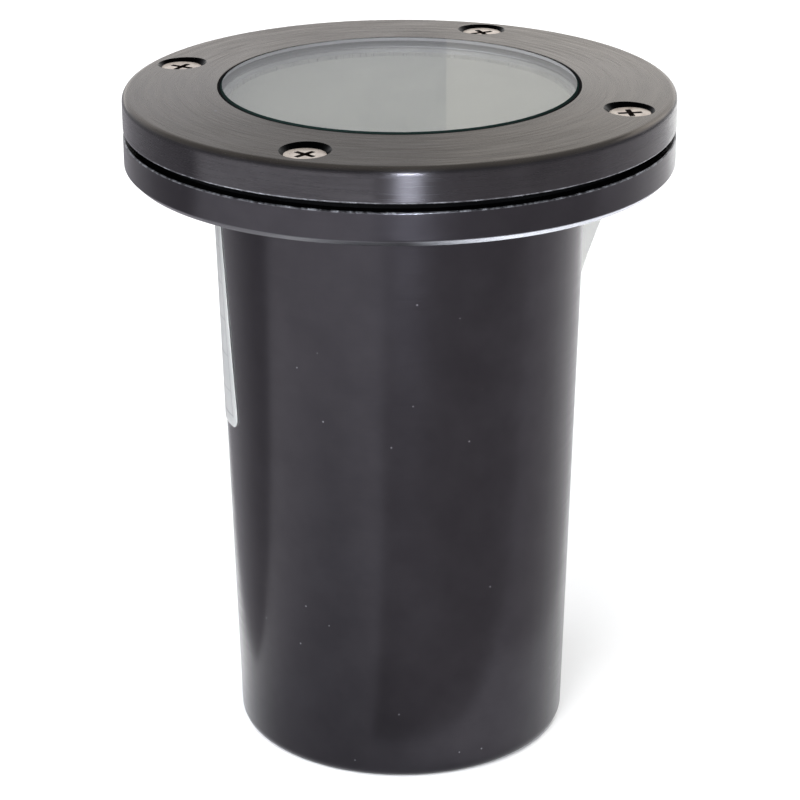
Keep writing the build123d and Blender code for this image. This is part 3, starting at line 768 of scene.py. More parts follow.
def placed(name: str, data: bpy.types.ID) -> Piece:
    """Makes an object and links it to the scene.

    Args:
        name: the object's name.
        data: its mesh, curve, light or camera.

    Returns:
        The object.
    """
    made = bpy.data.objects.new(name, data)
    bpy.context.scene.collection.objects.link(made)
    return made


def new_object(name: str, points: Sequence[Sequence[float]], faces: Sequence[Sequence[int]]) -> Piece:
    """Makes a closed mesh object with its faces turned outwards.

    Args:
        name: the piece's name.
        points: vertices in metres.
        faces: vertex numbers of each face.

    Returns:
        The object.
    """
    mesh = bpy.data.meshes.new(name)
    mesh.from_pydata([tuple(p) for p in points], [], [tuple(f) for f in faces])
    shell = bmesh.new()
    shell.from_mesh(mesh)
    bmesh.ops.recalc_face_normals(shell, faces=shell.faces)
    shell.to_mesh(mesh)
    shell.free()
    return placed(name, mesh)


def ring_grid(rows: Sequence[Outline], segments: int, closed: bool) -> tuple[list[Point], Faces]:
    """Vertices and faces of a surface turned about Z.

    Args:
        rows: for each row one (radius, height) in mm, or one for each segment.
        segments: points round the axis.
        closed: True joins the last row to the first.

    Returns:
        Vertices in metres, and faces.
    """
    points: list[Point] = []
    rings: list[list[int]] = []
    for row in rows:
        if len(row) == 1 and row[0][0] < 1e-6:
            rings.append([len(points)] * segments)
            points.append((0.0, 0.0, row[0][1] * MM))
            continue
        rings.append([len(points) + k for k in range(segments)])
        for k in range(segments):
            radius, height = row[k % len(row)]
            turn = 2 * math.pi * k / segments
            points.append((radius * math.cos(turn) * MM, radius * math.sin(turn) * MM, height * MM))
    faces: Faces = []
    pairs = list(zip(rings, rings[1:] + rings[:1]))
    for low, high in pairs if closed else pairs[:-1]:
        for k in range(segments):
            n = (k + 1) % segments
            corners = dict.fromkeys((low[k], low[n], high[n], high[k]))
            if len(corners) > 2:
                faces.append(tuple(corners))
    return points, faces


def turned(name: str, outline: Outline, segments: int = 240) -> Piece:
    """Turns a closed outline about Z into a solid piece.

    Args:
        name: the piece's name.
        outline: radius and height of each point, mm.
        segments: points round the axis.

    Returns:
        The piece.
    """
    points, faces = ring_grid([[p] for p in outline], segments, True)
    return new_object(name, points, faces)


def moved(piece: Piece, radius: float, azimuth: float, spin: float = 0.0) -> Piece:
    """Moves a piece made on the Z axis out to a circle.

    Args:
        piece: the object; its mesh is moved.
        radius: the circle's radius, mm.
        azimuth: degrees from +X.
        spin: degrees that the piece is first turned about its own axis.

    Returns:
        The same piece.
    """
    out = math.radians(azimuth)
    shift = Vector((math.cos(out), math.sin(out), 0)) * radius * MM
    own_x, own_y = math.cos(math.radians(spin)), math.sin(math.radians(spin))
    for vertex in piece.data.vertices:
        x, y, z = vertex.co
        vertex.co = Vector((x * own_x - y * own_y, x * own_y + y * own_x, z)) + shift
    return piece


def joined(name: str, parts: Sequence[Piece]) -> Piece:
    """Joins pieces into one.

    Args:
        name: the new piece's name.
        parts: pieces that are used up.

    Returns:
        The new piece.
    """
    points: list[tuple[float, ...]] = []
    faces: Faces = []
    for part in parts:
        start = len(points)
        points += [tuple(v.co) for v in part.data.vertices]
        faces += [tuple(start + v for v in f.vertices) for f in part.data.polygons]
        bpy.data.objects.remove(part)
    return new_object(name, points, faces)


def subtract(piece: Piece, cutter: Piece) -> Piece:
    """Cuts one piece out of another.

    Args:
        piece: the piece that is cut.
        cutter: the shape that goes; it is used up.

    Returns:
        The cut piece.
    """
    tool = piece.modifiers.new("cut", "BOOLEAN")
    tool.operation, tool.solver, tool.object = "DIFFERENCE", "EXACT", cutter
    graph = bpy.context.evaluated_depsgraph_get()
    result = bpy.data.meshes.new_from_object(piece.evaluated_get(graph))
    piece.modifiers.clear()
    piece.data = result
    result.name = piece.name
    bpy.data.objects.remove(cutter)
    return piece


def box_solid(name: str, *spans: Span) -> Piece:
    """A box as a cutter.

    Args:
        name: its name.
        spans: where it starts and ends along X, Y and Z, mm.

    Returns:
        The box.
    """
    points = [(x * MM, y * MM, z * MM) for x in spans[0] for y in spans[1] for z in spans[2]]
    faces = [(0, 1, 3, 2), (4, 6, 7, 5), (0, 4, 5, 1), (2, 3, 7, 6), (0, 2, 6, 4), (1, 5, 7, 3)]
    return new_object(name, points, faces)


def off_screw(place: Vector) -> float:
    """Distance from a point to the nearest screw's axis, mm."""
    return min(
        math.hypot(place.x - SCREW_CIRCLE * math.cos(turn), place.y - SCREW_CIRCLE * math.sin(turn))
        for turn in map(math.radians, SCREW_AZIMUTHS)
    )


def bored(piece: Piece, hole: Outline, segments: int) -> Piece:
    """Bores a piece at each screw's place.

    Args:
        piece: the piece.
        hole: section of one hole.
        segments: points round its axis.

    Returns:
        The same piece.
    """
    holes = [moved(turned("hole", hole, segments), SCREW_CIRCLE, azimuth) for azimuth in SCREW_AZIMUTHS]
    return subtract(piece, joined("holes", holes))


def mark_painted_shade(piece: Piece, inside: Callable[[Vector, Vector], bool]) -> None:
    """Marks the faces in a piece's recesses that its finish paints dark as shade.

    Args:
        piece: the piece.
        inside: says from a face's centre in mm and its normal whether the face gets painted shade.
    """
    shares = [float(inside(face.center / MM, face.normal)) for face in piece.data.polygons]
    piece.data.attributes.new("recess_shade", "FLOAT", "FACE").data.foreach_set("value", shares)


def dress(piece: Piece, finish: Finish, body: Body | None, *nodes: str, crease: float = 32.0) -> Piece:
    """Shades a piece, gives it its finish and its body, and lets it stand for its CAD nodes.

    Args:
        piece: the finished mesh object.
        finish: what it is made of.
        body: the body that it moves with, or None to give it no body.
        nodes: CAD nodes that it stands for.
        crease: edges sharper than this many degrees stay sharp.

    Returns:
        The same piece.
    """
    piece.data.polygons.foreach_set("use_smooth", [True] * len(piece.data.polygons))
    piece.data.set_sharp_from_angle(angle=math.radians(crease))
    piece.data.materials.clear()
    piece.data.materials.append(finish.material())
    if body:
        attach(piece, body.value)
    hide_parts(*nodes)
    log.info("%s: %d faces, %s", piece.name, len(piece.data.polygons), finish.name)
    return piece


def redress(finish: Finish, *nodes: str) -> None:
    """Gives CAD nodes that stay their procedural finish.

    Args:
        finish: what they are made of.
        nodes: their names.
    """
    for node in nodes:
        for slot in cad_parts[node].material_slots:
            slot.material = finish.material()
        log.info("%s: kept, %s", node, finish.name)


# ---------------------------------------------------------------- the light's sub-assemblies


@dataclass
class CoverRing:
    """The turned ring at the top, with four countersunk holes, sizes in mm."""

    outer: float = 60.0
    foot: float = 141.6
    rim_top: float = 149.15
    top: float = 150.0
    bore: float = 39.4
    counterbore: float = 44.45
    shoulder: float = 146.8
    rim_round: float = 1.5
    hole: float = 2.75
    seat_radius: float = 4.52
    seat_height: float = 148.4
    seat_slope: float = 0.84
    overcut: float = 1.0
    shade_reach: float = 6.5

    def outline(self) -> Outline:
        """The ring's section, with its edges rounded as they are in the photograph."""
        return rounded([
            Corner(self.counterbore, self.foot, 0.2),
            Corner(self.outer, self.foot, 0.45),
            Corner(self.outer, self.rim_top, self.rim_round),
            Corner(self.bore, self.top, 0.12),
            Corner(self.bore, self.shoulder),
            Corner(self.counterbore, self.shoulder),
        ])

    def countersink(self) -> Outline:
        """Section of one screw hole with its countersink.

        Returns:
            Points of radius and height, mm.
        """
        foot, top = self.foot - self.overcut, self.top + self.overcut
        cone_foot = self.seat_height - (self.seat_radius - self.hole) / self.seat_slope
        cone_top = self.seat_radius + (top - self.seat_height) * self.seat_slope
        return [(0, foot), (self.hole, foot), (self.hole, cone_foot), (cone_top, top), (0, top)]

    def build(self) -> Piece:
        """Turns the ring and sinks its holes.

        Returns:
            The ring.
        """
        ring = bored(turned("cover_ring", self.outline(), 320), self.countersink(), 72)
        # The countersinks' walls are painted near black as shade.
        mark_painted_shade(ring, lambda at, normal: off_screw(at) < self.shade_reach and -0.5 < normal.z < 0.9)
        return dress(ring, COVER_METAL, Body.COVER, "bezel_ring")


@dataclass
class CoverScrews:
    """Four countersunk screws with a cross recess and a rolled thread, sizes in mm."""

    recess_turns: tuple[float, ...] = (8.0, 25.0, 60.0, 47.0)
    head_top: float = 148.65
    head_radius: float = 4.45
    head_rim: float = 0.25
    crest: float = 2.45
    root: float = 2.06
    pitch: float = 0.8
    rows_each_turn: int = 6
    crest_share: float = 1.25
    runout: float = 0.4
    neck: float = 0.35
    length: float = 15.0
    tip_chamfer: float = 0.6
    recess_span: float = 5.2
    recess_floor_span: float = 2.0
    recess_width: float = 1.25
    recess_floor_width: float = 0.85
    recess_depth: float = 1.6
    recess_above: float = 0.2
    shade_margin: float = 0.3
    shade_skin: float = 0.02

    def cone_foot(self) -> float:
        """Height at which the head's cone meets the shank, mm."""
        return self.head_top - self.head_rim - (self.head_radius - self.crest)

    def shank_rows(self, segments: int) -> list[Outline]:
        """Rows of the shank: the thread's crest runs up and round it.

        Args:
            segments: points round the axis.

        Returns:
            For each row, radius and height of every point, mm.
        """
        tip = self.head_top - self.length
        step = self.pitch / self.rows_each_turn
        rows: list[Outline] = [[(0.0, tip)]]
        for i in range(int((self.cone_foot() - self.runout - tip) / step) + 1):
            height = tip + i * step
            row = []
            for k in range(segments):
                phase = (height / self.pitch - k / segments) % 1.0
                crest = 1 - abs(2 * phase - 1)
                radius = self.root + (self.crest - self.root) * min(1.0, self.crest_share * crest)
                row.append((min(radius, self.crest - self.tip_chamfer + (height - tip)), height))
            rows.append(row)
        return rows

    def arm(self, turn: float) -> Piece:
        """One arm of the tapered cross that is cut into a head.

        Args:
            turn: how it is turned about the screw's axis, degrees.

        Returns:
            The cutter.
        """
        grow = self.recess_above * (self.recess_span - self.recess_floor_span) / self.recess_depth
        points = []
        for height, span, width in (
            (self.head_top + self.recess_above, self.recess_span + grow, self.recess_width),
            (self.head_top - self.recess_depth, self.recess_floor_span, self.recess_floor_width),
        ):
            for x, y in ((-span, -width), (span, -width), (span, width), (-span, width)):
                points.append((x / 2 * MM, y / 2 * MM, height * MM))
        faces = [(0, 1, 2, 3), (4, 7, 6, 5), (0, 4, 5, 1), (1, 5, 6, 2), (2, 6, 7, 3), (3, 7, 4, 0)]
        return moved(new_object("arm", points, faces), 0, 0, turn)

    def screw(self, azimuth: float, turn: float) -> Piece:
        """One screw in its place.

        Args:
            azimuth: where it sits on the circle, degrees.
            turn: how its cross is turned, degrees.

        Returns:
            The screw.
        """
        segments = 48
        rim, radius, top = self.head_top - self.head_rim, self.head_radius, self.head_top
        head = (
            (self.root, self.cone_foot() - self.neck), (self.crest, self.cone_foot()),
            (radius - 0.05, rim - 0.05), (radius, rim), (radius, top - 0.1), (radius - 0.03, top - 0.03),
            (radius - 0.1, top), (radius - 0.5, top), (0.0, top),
        )
        points, faces = ring_grid(self.shank_rows(segments) + [[p] for p in head], segments, False)
        screw = new_object("screw", points, faces)
        for arm_turn in (0, 90):
            subtract(screw, self.arm(arm_turn))
        return moved(screw, SCREW_CIRCLE, azimuth, turn)

    def build(self) -> Piece:
        """Makes all the screws.

        Returns:
            The four screws as one piece.
        """
        turns = zip(SCREW_AZIMUTHS, self.recess_turns)
        screws = joined("cover_screw_set", [self.screw(azimuth, turn) for azimuth, turn in turns])
        # The cross recesses are painted dark as shade.
        floor = self.head_top - self.recess_depth - self.shade_skin
        rim, reach = self.head_top - self.shade_skin, self.recess_span / 2 + self.shade_margin
        mark_painted_shade(screws, lambda at, normal: floor < at.z < rim and off_screw(at) < reach)
        return dress(screws, SCREW_STEEL, Body.SCREWS, "cover_screws", crease=28.0)


@dataclass
class LensSet:
    """The stepped glass, its gasket, the ring that clamps it and the frosted disc below, sizes in mm."""

    top: float = 150.25
    foot: float = 144.25
    radius: float = 38.75
    step_radius: float = 43.25
    step_top: float = 146.1
    edge_chamfer: float = 0.3
    shoulder: float = 146.8
    bezel_bore: float = 39.4
    fit: float = 0.05
    gasket_radius: float = 44.4
    gasket_base: float = 0.7
    gasket_under: float = 40.45
    retainer_top: float = 143.5
    retainer_foot: float = 138.25
    retainer_bore: float = 38.2
    ledge_top: float = 139.45
    ledge_bore: float = 36.0
    slot_width: float = 4.0
    slot_depth: float = 1.2
    overcut: float = 1.0
    diffuser_radius: float = 37.9
    diffuser_top: float = 141.45

    def glass(self) -> Outline:
        """Section of the clear glass, its top edge ground to a small chamfer."""
        return rounded([
            Corner(0, self.foot), Corner(self.step_radius, self.foot, 0.3),
            Corner(self.step_radius, self.step_top, 0.3), Corner(self.radius, self.step_top),
            Corner(self.radius, self.top - self.edge_chamfer),
            Corner(self.radius - self.edge_chamfer, self.top), Corner(0, self.top),
        ], steps=3)

    def gasket(self) -> Outline:
        """Section of the moulded gasket: its lip is the thin black line round the glass.

        Returns:
            Points of radius and height, mm.
        """
        lip, wall, base = self.radius + self.fit, self.step_radius + self.fit, self.foot - self.gasket_base
        outer, lip_top = self.bezel_bore - self.fit, self.top - self.edge_chamfer
        return rounded([
            Corner(lip, self.step_top + self.fit), Corner(wall, self.step_top + self.fit),
            Corner(wall, self.foot), Corner(self.gasket_under, self.foot),
            Corner(self.gasket_under, base, 0.2), Corner(self.gasket_radius, base, 0.2),
            Corner(self.gasket_radius, self.shoulder - self.fit, 0.2),
            Corner(outer, self.shoulder - self.fit), Corner(outer, lip_top, 0.15), Corner(lip, lip_top, 0.15),
        ], steps=3)

    def retainer(self) -> Outline:
        """Section of the clamping ring."""
        return rounded([
            Corner(self.ledge_bore, self.retainer_foot, 0.2),
            Corner(self.gasket_radius, self.retainer_foot, 0.4),
            Corner(self.gasket_radius, self.retainer_top, 0.2),
            Corner(self.retainer_bore, self.retainer_top, 0.25),
            Corner(self.retainer_bore, self.ledge_top), Corner(self.ledge_bore, self.ledge_top, 0.2),
        ], steps=4)

    def diffuser(self) -> Outline:
        """Section of the frosted disc, its edges ground round."""
        return rounded([
            Corner(0, self.ledge_top), Corner(self.diffuser_radius, self.ledge_top, 0.35),
            Corner(self.diffuser_radius, self.diffuser_top, 0.35), Corner(0, self.diffuser_top),
        ], steps=4)

    def build(self) -> None:
        """Builds the set, with two slots for a spanner in the underside of the clamping ring."""
        redress(STAINLESS, "diffuser_clip")
        dress(turned("lens_glass", self.glass()), LENS_GLASS, Body.COVER, "lens", crease=20.0)
        dress(turned("lens_seal", self.gasket()), RUBBER, Body.COVER, "lens_gasket")
        ring = turned("clamping_ring", self.retainer())
        half, reach = self.slot_width / 2, self.gasket_radius + self.overcut
        rise = (self.retainer_foot - self.overcut, self.retainer_foot + self.slot_depth)
        for side in ((self.retainer_bore, reach), (-reach, -self.retainer_bore)):
            subtract(ring, box_solid("slot", side, (-half, half), rise))
        dress(ring, SATIN_ALUMINIUM, Body.COVER, "lens_retainer")
        dress(turned("frosted_disc", self.diffuser()), FROSTED_GLASS, Body.COVER, "diffuser")


@dataclass
class Can:
    """The tapered can with its flange, and the flat gasket and the bushes for the screws, sizes in mm."""

    foot_radius: float = 37.1
    foot_bore: float = 31.1
    top_radius: float = 40.8
    flange_foot: float = 132.5
    flange_top: float = 140.0
    flange_chamfer: float = 1.3
    outer: float = 60.0
    mouth_radius: float = 45.65
    mouth_floor: float = 137.05
    cavity_mouth: float = 37.8
    cavity_floor: float = 34.86
    floor_top: float = 27.1
    floor_under: float = 22.1
    gland_hole: float = 8.05
    bush_radius: float = 3.5
    overcut: float = 1.0

    def outline(self) -> Outline:
        """The can's whole section, outside and inside."""
        return rounded([
            Corner(self.foot_bore, 0, 0.5), Corner(self.foot_radius, 0, 2.4),
            Corner(self.top_radius, self.flange_foot, 0.7),
            Corner(self.outer - self.flange_chamfer, self.flange_foot, 0.5),
            Corner(self.outer, self.flange_foot + self.flange_chamfer, 0.5),
            Corner(self.outer, self.flange_top, 0.35), Corner(self.mouth_radius, self.flange_top, 0.3),
            Corner(self.mouth_radius, self.mouth_floor, 0.3),
            Corner(self.cavity_mouth, self.mouth_floor, 0.3),
            Corner(self.cavity_floor, self.floor_top, 1.5), Corner(self.gland_hole, self.floor_top, 0.2),
            Corner(self.gland_hole, self.floor_under, 0.2), Corner(self.foot_bore, self.floor_under, 1.2),
        ])

    def build(self) -> Piece:
        """Turns the can and bores the flange.

        Returns:
            The can.
        """
        low, high = self.flange_foot - self.overcut, self.flange_top + self.overcut
        hole = [(0, low), (self.bush_radius, low), (self.bush_radius, high), (0, high)]
        can = bored(turned("can_and_flange", self.outline(), 320), hole, 48)
        redress(STAINLESS, "thread_inserts")
        redress(RUBBER, "flange_gasket")
        return dress(can, CAN_METAL, Body.HOUSING, "housing")


@dataclass
class Label:
    """The label: a straight strip wrapped round the cone of the can, its far top corner come loose, in mm."""

    length: float = LABEL_LENGTH
    height: float = LABEL_HEIGHT
    thickness: float = LABEL_THICKNESS
    standoff: float = 0.15
    start_azimuth: float = -155.2
    start_height: float = 75.8
    lean: float = 6.4
    corner: float = 3.0
    peel_length: float = 24.0
    peel_height: float = 32.0
    peel_lift: float = 8.6
    can_foot_radius: float = 37.1
    can_taper: float = 3.7
    can_height: float = 132.5
    columns: int = 150
    rows: int = 48

    def place(self, along: float, up: float, out: float) -> Point:
        """A point of the strip on the can, found on the cone unrolled to a flat sector.

        Args:
            along: distance from the label's first edge, mm.
            up: distance from its lower edge, mm.
            out: distance above its inner face, mm.

        Returns:
            The point, in metres.
        """
        half = math.atan2(self.can_taper, self.can_height)
        start = self.can_foot_radius + self.can_taper * self.start_height / self.can_height
        lean, reach = math.radians(self.lean), start / math.sin(half)
        across = along * math.cos(lean) + up * math.sin(lean)
        away = reach + up * math.cos(lean) - along * math.sin(lean)
        slant, turn = math.hypot(across, away), math.atan2(across, away) / math.sin(half)
        past = (along - (self.length - self.peel_length)) / self.peel_length
        lift = self.peel_lift * max(0.0, past + (up - self.height) / self.peel_height) ** 1.5
        radius = slant * math.sin(half) + self.standoff + lift + out
        angle = math.radians(self.start_azimuth) - turn
        height = self.start_height + (slant - reach) * math.cos(half)
        return radius * math.cos(angle) * MM, radius * math.sin(angle) * MM, height * MM

    def inset(self, up: float) -> float:
        """How far the rounded corners draw in the label's ends at this height, mm."""
        into = max(self.corner - up, up - (self.height - self.corner), 0.0)
        return self.corner - math.sqrt(max(self.corner ** 2 - into ** 2, 0.0))

    def build(self) -> Piece:
        """Builds the strip with its thickness and its own coordinates.

        Returns:
            The label.
        """
        strip: list[Point] = []
        heights = [self.height * (1 - math.cos(math.pi * j / self.rows)) / 2 for j in range(self.rows + 1)]
        for out in (0.0, self.thickness):
            for up in heights:
                inset = self.inset(up)
                for i in range(self.columns + 1):
                    strip.append((inset + (self.length - 2 * inset) * i / self.columns, up, out))
        wide, layer = self.columns + 1, (self.columns + 1) * (self.rows + 1)
        faces = []
        for j in range(self.rows):
            for i in range(self.columns):
                a = j * wide + i
                square = (a, a + 1, a + wide + 1, a + wide)
                faces += [square[::-1], tuple(layer + v for v in square)]
        # The points round the strip's edge, in order: along its foot, up, back along its top and down.
        rim = [*range(wide), *range(2 * wide - 1, layer, wide)]
        rim += [*range(layer - 2, layer - wide - 1, -1), *range(layer - 2 * wide, 0, -wide)]
        faces += [(a, b, layer + b, layer + a) for a, b in zip(rim, rim[1:] + rim[:1])]
        label = new_object("label_strip", [self.place(*spot) for spot in strip], faces)
        place = label.data.attributes.new("strip", "FLOAT_VECTOR", "POINT")
        place.data.foreach_set("vector", [value for spot in strip for value in spot])
        return dress(label, LABEL_FILM, Body.HOUSING, "rating_label", crease=50.0)


@dataclass
class AsDrawn:
    """A sub-assembly whose pieces stay as the CAD has them and take a finish."""

    finishes: tuple[tuple[Finish, tuple[str, ...]], ...]

    def build(self) -> None:
        """Finishes its pieces."""
        for finish, nodes in self.finishes:
            redress(finish, *nodes)


@dataclass
class Gland(AsDrawn):
    """The cable gland in the can's foot and the washer that the bracket turns on."""

    finishes: tuple[tuple[Finish, tuple[str, ...]], ...] = (
        (BLACK_NYLON, ("gland_body", "gland_cap_nut", "gland_locknut")),
        (RUBBER, ("gland_o_ring", "gland_seal")),
        (STAINLESS, ("swivel_washer",)),
    )


@dataclass
class Bracket(AsDrawn):
    """The bent strip that carries the lamp, with the gimbal ring and its pivots."""

    finishes: tuple[tuple[Finish, tuple[str, ...]], ...] = (
        (ZINC_STEEL, ("gimbal_bracket", "gimbal_ring")),
        (STAINLESS, ("pivot_screws", "lamp_clip")),
        (WHITE_NYLON, ("pivot_washers",)),
    )


@dataclass
class Lamp(AsDrawn):
    """The reflector lamp and its socket."""

    finishes: tuple[tuple[Finish, tuple[str, ...]], ...] = (
        (LAMP_ALUMINIUM, ("lamp_body",)),
        (LAMP_OPTIC, ("lamp_optic",)),
        (LAMP_PLASTIC, ("lamp_base",)),
        (TINNED_BRASS, ("lamp_pins", "socket_contacts")),
        (STEATITE, ("lamp_socket",)),
    )


@dataclass
class Wiring:
    """The terminal block and the two leads up to the lamp's socket, sizes in mm."""

    lead_radius: float = 0.9
    spacing: float = 5.33
    block_x: float = 20.3
    block_top: float = 39.4
    grip: float = 1.0
    straight: float = 10.0
    bend_start: float = 5.0
    still: float = 1.0
    socket_foot: float = 62.5

    def lead(self, side: int) -> Piece:
        """One lead as a tube along a smooth line.

        Args:
            side: -1 or 1, which pole it joins.

        Returns:
            The tube.
        """
        low, high = self.block_top + self.straight, self.socket_foot - self.straight
        route = (
            (self.block_x, self.block_top - self.grip), (self.block_x, low - self.bend_start),
            (self.block_x, low), (self.block_x / 2, (low + high) / 2), (0, high), (0, high + self.bend_start),
            (0, self.socket_foot + self.grip),
        )
        curve = bpy.data.curves.new("lead", "CURVE")
        curve.dimensions = "3D"
        curve.resolution_u = 12
        curve.bevel_depth = self.lead_radius * MM
        curve.bevel_resolution = 6
        curve.use_fill_caps = True
        spline = curve.splines.new("NURBS")
        spline.points.add(len(route) - 1)
        for point, (x, z) in zip(spline.points, route):
            point.co = (x * MM, side * self.spacing / 2 * MM, z * MM, 1.0)
        spline.order_u = 3
        spline.use_endpoint_u = True
        line = placed("lead", curve)
        graph = bpy.context.evaluated_depsgraph_get()
        tube = placed("lead_tube", bpy.data.meshes.new_from_object(line.evaluated_get(graph)))
        bpy.data.objects.remove(line)
        return tube

    def build(self) -> Piece:
        """Builds the leads; they are given no body.

        Returns:
            Both leads as one piece.
        """
        leads = joined("lead_pair", [self.lead(-1), self.lead(1)])
        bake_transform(leads)
        redress(WHITE_NYLON, "terminal_block")
        redress(BRASS, "terminal_clamps")
        redress(ZINC_STEEL, "terminal_screws")
        return dress(leads, LEAD_SILICONE, None, "lamp_leads", crease=40.0)


# ---------------------------------------------------------------- studio and camera


@dataclass(frozen=True)
class SoftBox:
    """A soft lamp: its place and aim in metres, its size, how bright its face is, if metal mirrors it and
    if it shows as an image in the glass, which takes it out of what lights the diffuser too.
    """

    name: str
    place: Point
    aim: Point
    size: Span
    radiance: float
    colour: str = "#FFFFFF"
    mirrored: bool = True
    seen_in_glass: bool = True

    def build(self) -> Piece:
        """Hangs the lamp.

        Returns:
            The lamp's object.
        """
        light = bpy.data.lights.new(self.name, "AREA")
        light.shape = "RECTANGLE"
        light.size, light.size_y = self.size
        light.energy = self.radiance * math.pi * self.size[0] * self.size[1]
        light.color = linear(self.colour)[:3]
        lamp = placed(self.name, light)
        lamp.location = self.place
        lamp.rotation_euler = (Vector(self.aim) - Vector(self.place)).to_track_quat("-Z", "Y").to_euler()
        lamp.visible_camera = False
        lamp.visible_glossy = self.mirrored
        lamp.visible_transmission = self.seen_in_glass
        return lamp


@dataclass(frozen=True)
class MattCard(Finish):
    """Matt card of the studio, with a faint tone that drifts over it in spots of this size in mm."""

    colour: str
    tone: str
    spots: float
    most: float = 1.0

    def shader(self, tree: Tree) -> Node:
        """The card's shader, built in this node tree."""
        colour = shaded(tree, cloud(tree, self.spots), MIDDLE, self.colour, self.tone, self.most)
        return add_node(tree, "ShaderNodeBsdfDiffuse", {"Color": colour, "Roughness": 0.5})

    def sheet(self, name: str, corners: Sequence[Span], height: float) -> Piece:
        """Lays a flat sheet of it that belongs to the studio alone.

        Args:
            name: the sheet's name.
            corners: its corners on the floor, metres.
            height: its height above the floor, metres.

        Returns:
            The sheet.
        """
        sheet = new_object(name, [(x, y, height) for x, y in corners], [range(len(corners))])
        sheet.data.materials.append(self.material())
        return sheet


@dataclass(frozen=True)
class MirroredCard:
    """A card flat on the floor that only reflections show: painted shade that darkens what the dark metal
    mirrors.
    """

    name: str
    corners: tuple[Span, ...]
    colour: str
    height: float = 0.002

    def build(self) -> Piece:
        """Lays the card.

        Returns:
            The card.
        """
        matt = MattCard(f"{self.name}, matt card", "studio", self.colour, "#FFFFFF", 200.0, 0.12)
        card = matt.sheet(self.name, self.corners, self.height)
        card.visible_camera = card.visible_diffuse = card.visible_shadow = card.visible_transmission = False
        return card


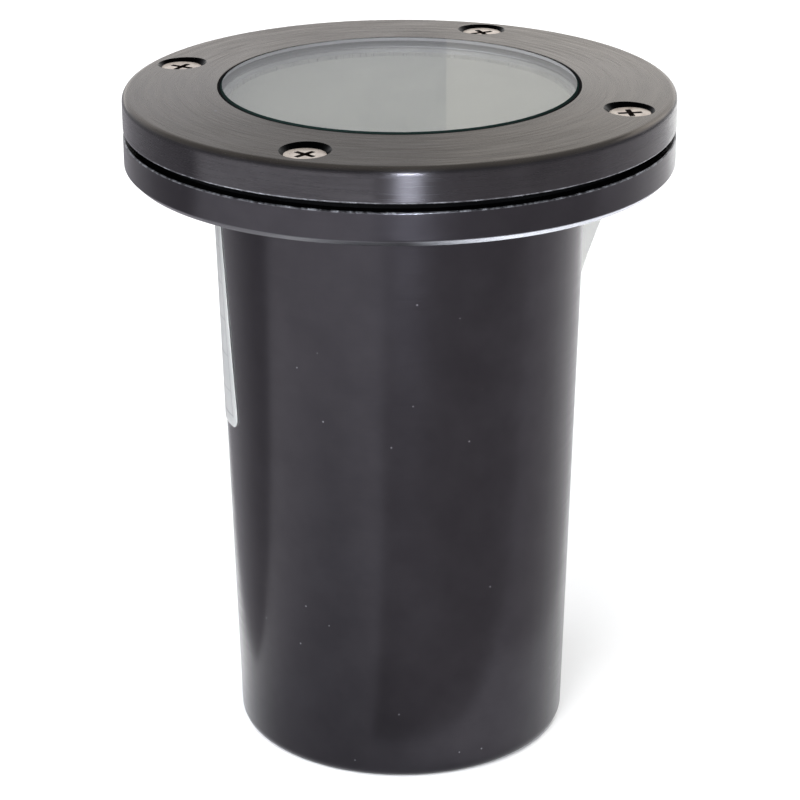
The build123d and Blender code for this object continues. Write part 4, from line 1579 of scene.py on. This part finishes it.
@dataclass
class Studio:
    """A pale floor, a pale surround that darkens overhead, the soft lamps and the cards, sizes in metres."""

    floor_card: MattCard = MattCard("floor card, matt", "studio", "#F9F9F9", "#FBFBFB", 300.0)
    floor_radius: float = 7.0
    floor_sides: int = 64
    horizon: float = 0.54
    overhead: float = 0.26
    horizon_end: float = 0.3
    overhead_start: float = 0.62
    lamps: tuple[SoftBox, ...] = (
        SoftBox(
            "window at the right", (0.65, 0.78, 0.85), (0.13, 0.13, 0.0), (0.65, 0.65), 9.0, "#FFFDF9",
            mirrored=False, seen_in_glass=False,
        ),
        SoftBox("window blind", (1.1, 0.9, 0.75), (0.1, 0.1, 0.1), (0.9, 0.7), 0.55, "#FFFDF9"),
        SoftBox(
            "fill at the left", (-1.2, -0.5, 1.0), (-0.1, -0.1, 0.05), (1.6, 1.6), 2.4, "#F6F9FF",
            mirrored=False,
        ),
        SoftBox(
            "low fill in front", (-0.35, -0.55, 0.4), (-0.1, -0.15, 0.0), (0.5, 0.5), 2.6, "#FBFBFF",
            mirrored=False,
        ),
        SoftBox(
            "fill over the camera", (0.0, -1.0, 1.0), (0.0, -0.1, 0.0), (0.9, 0.9), 3.6, mirrored=False,
        ),
        SoftBox(
            "panel behind at the right", (0.68, 1.2, 0.65), (0.68, 0.0, 0.65), (1.3, 0.8), 0.3, "#FFFCF6",
        ),
        SoftBox(
            "panel behind at the left", (-0.62, 1.2, 0.65), (-0.62, 0.0, 0.65), (1.3, 0.8), 0.16, "#F4F6FF",
        ),
        SoftBox("strip behind the cover", (0.0, 0.12, 0.16), (0.0, 0.0, 0.16), (0.3, 0.02), 0.5, "#FFF9F2"),
        SoftBox(
            "low lamp below the camera", (0.06, -1.0, 0.115), (0.0, 0.0, 0.14), (0.15, 0.05), 215.0,
            "#EEF6FF",
        ),
    )
    cards: tuple[MirroredCard, ...] = (
        MirroredCard("card_front", ((-0.012, -0.05), (-0.22, -1.3), (1.6, -1.3), (1.6, -0.05)), "#BDBABB"),
        MirroredCard("card_right", ((0.07, -0.05), (1.6, -0.05), (1.6, 1.2), (0.1, 0.25)), "#DDDBDC"),
        MirroredCard(
            "card_left", ((-0.06, 0.0), (-0.08, 0.1), (-0.3, 1.6), (-2.0, 1.6), (-2.0, -0.15)), "#9A979C",
        ),
    )

    def floor(self) -> Piece:
        """The floor: matt card with a faint tone to it.

        Returns:
            The floor.
        """
        turns = [2 * math.pi * k / self.floor_sides for k in range(self.floor_sides)]
        corners = [(self.floor_radius * math.cos(turn), self.floor_radius * math.sin(turn)) for turn in turns]
        return self.floor_card.sheet("floor", corners, 0.0)

    def world(self) -> None:
        """A pale surround that darkens overhead, and plain white to the eye."""
        world = bpy.data.worlds.new("studio")
        bpy.context.scene.world = world
        world.use_nodes = True
        tree = world.node_tree
        tree.nodes.clear()
        way = add_node(tree, "ShaderNodeTexCoord").outputs["Generated"]
        rise = add_node(tree, "ShaderNodeSeparateXYZ", {0: way}).outputs["Z"]
        level = add_node(tree, "ShaderNodeMapRange", {
            0: rise, 1: self.horizon_end, 2: self.overhead_start, 3: self.horizon, 4: self.overhead,
        })
        light = add_node(tree, "ShaderNodeBackground", {"Color": "#FBFCFF", "Strength": level})
        white = add_node(tree, "ShaderNodeBackground", {"Color": "#FFFFFF", "Strength": 1.0})
        seen = add_node(tree, "ShaderNodeLightPath").outputs["Is Camera Ray"]
        both = add_node(tree, "ShaderNodeMixShader", {0: seen, 1: light, 2: white})
        add_node(tree, "ShaderNodeOutputWorld", {"Surface": both})

    def build(self) -> None:
        """Sets up floor, surround, lamps, cards and the view settings."""
        self.floor()
        self.world()
        for prop in (*self.lamps, *self.cards):
            prop.build()
        bpy.context.scene.view_settings.view_transform = "Standard"
        log.info("studio: floor, surround, %d lamps and %d cards", len(self.lamps), len(self.cards))


@dataclass
class Viewpoint:
    """The camera of the photograph: its place in metres, its pitch and lean in radians, and its lens."""

    place: Point = (0.0, -0.60997, 0.31797)
    pitch: float = 0.3773
    lean: float = 0.0031
    focal_pixels: float = 2908.0
    offset_pixels: float = 0.53
    frame_pixels: float = 800.0
    sensor: float = 36.0

    def build(self) -> Piece:
        """Sets up the camera.

        Returns:
            The camera.
        """
        data = bpy.data.cameras.new("camera")
        data.sensor_width = self.sensor
        data.lens = self.focal_pixels / self.frame_pixels * self.sensor
        data.shift_x = -self.offset_pixels / self.frame_pixels
        data.clip_start, data.clip_end = 0.01, 50.0
        camera = placed("camera", data)
        camera.location = self.place
        tilt, lean = Matrix.Rotation(math.pi / 2 - self.pitch, 3, "X"), Matrix.Rotation(-self.lean, 3, "Z")
        camera.rotation_euler = (tilt @ lean).to_euler()
        bpy.context.scene.camera = camera
        return camera


def main() -> None:
    """Builds the camera, the studio and every sub-assembly, from the ground up."""
    logging.basicConfig(level=logging.INFO, format="%(name)s: %(message)s")
    Viewpoint().build()
    Studio().build()
    for kind in (Can, Label, Gland, Bracket, Wiring, Lamp, CoverRing, LensSet, CoverScrews):
        kind().build()
        log.info("%s built", kind.__name__)


if __name__ == "__main__":
    main()
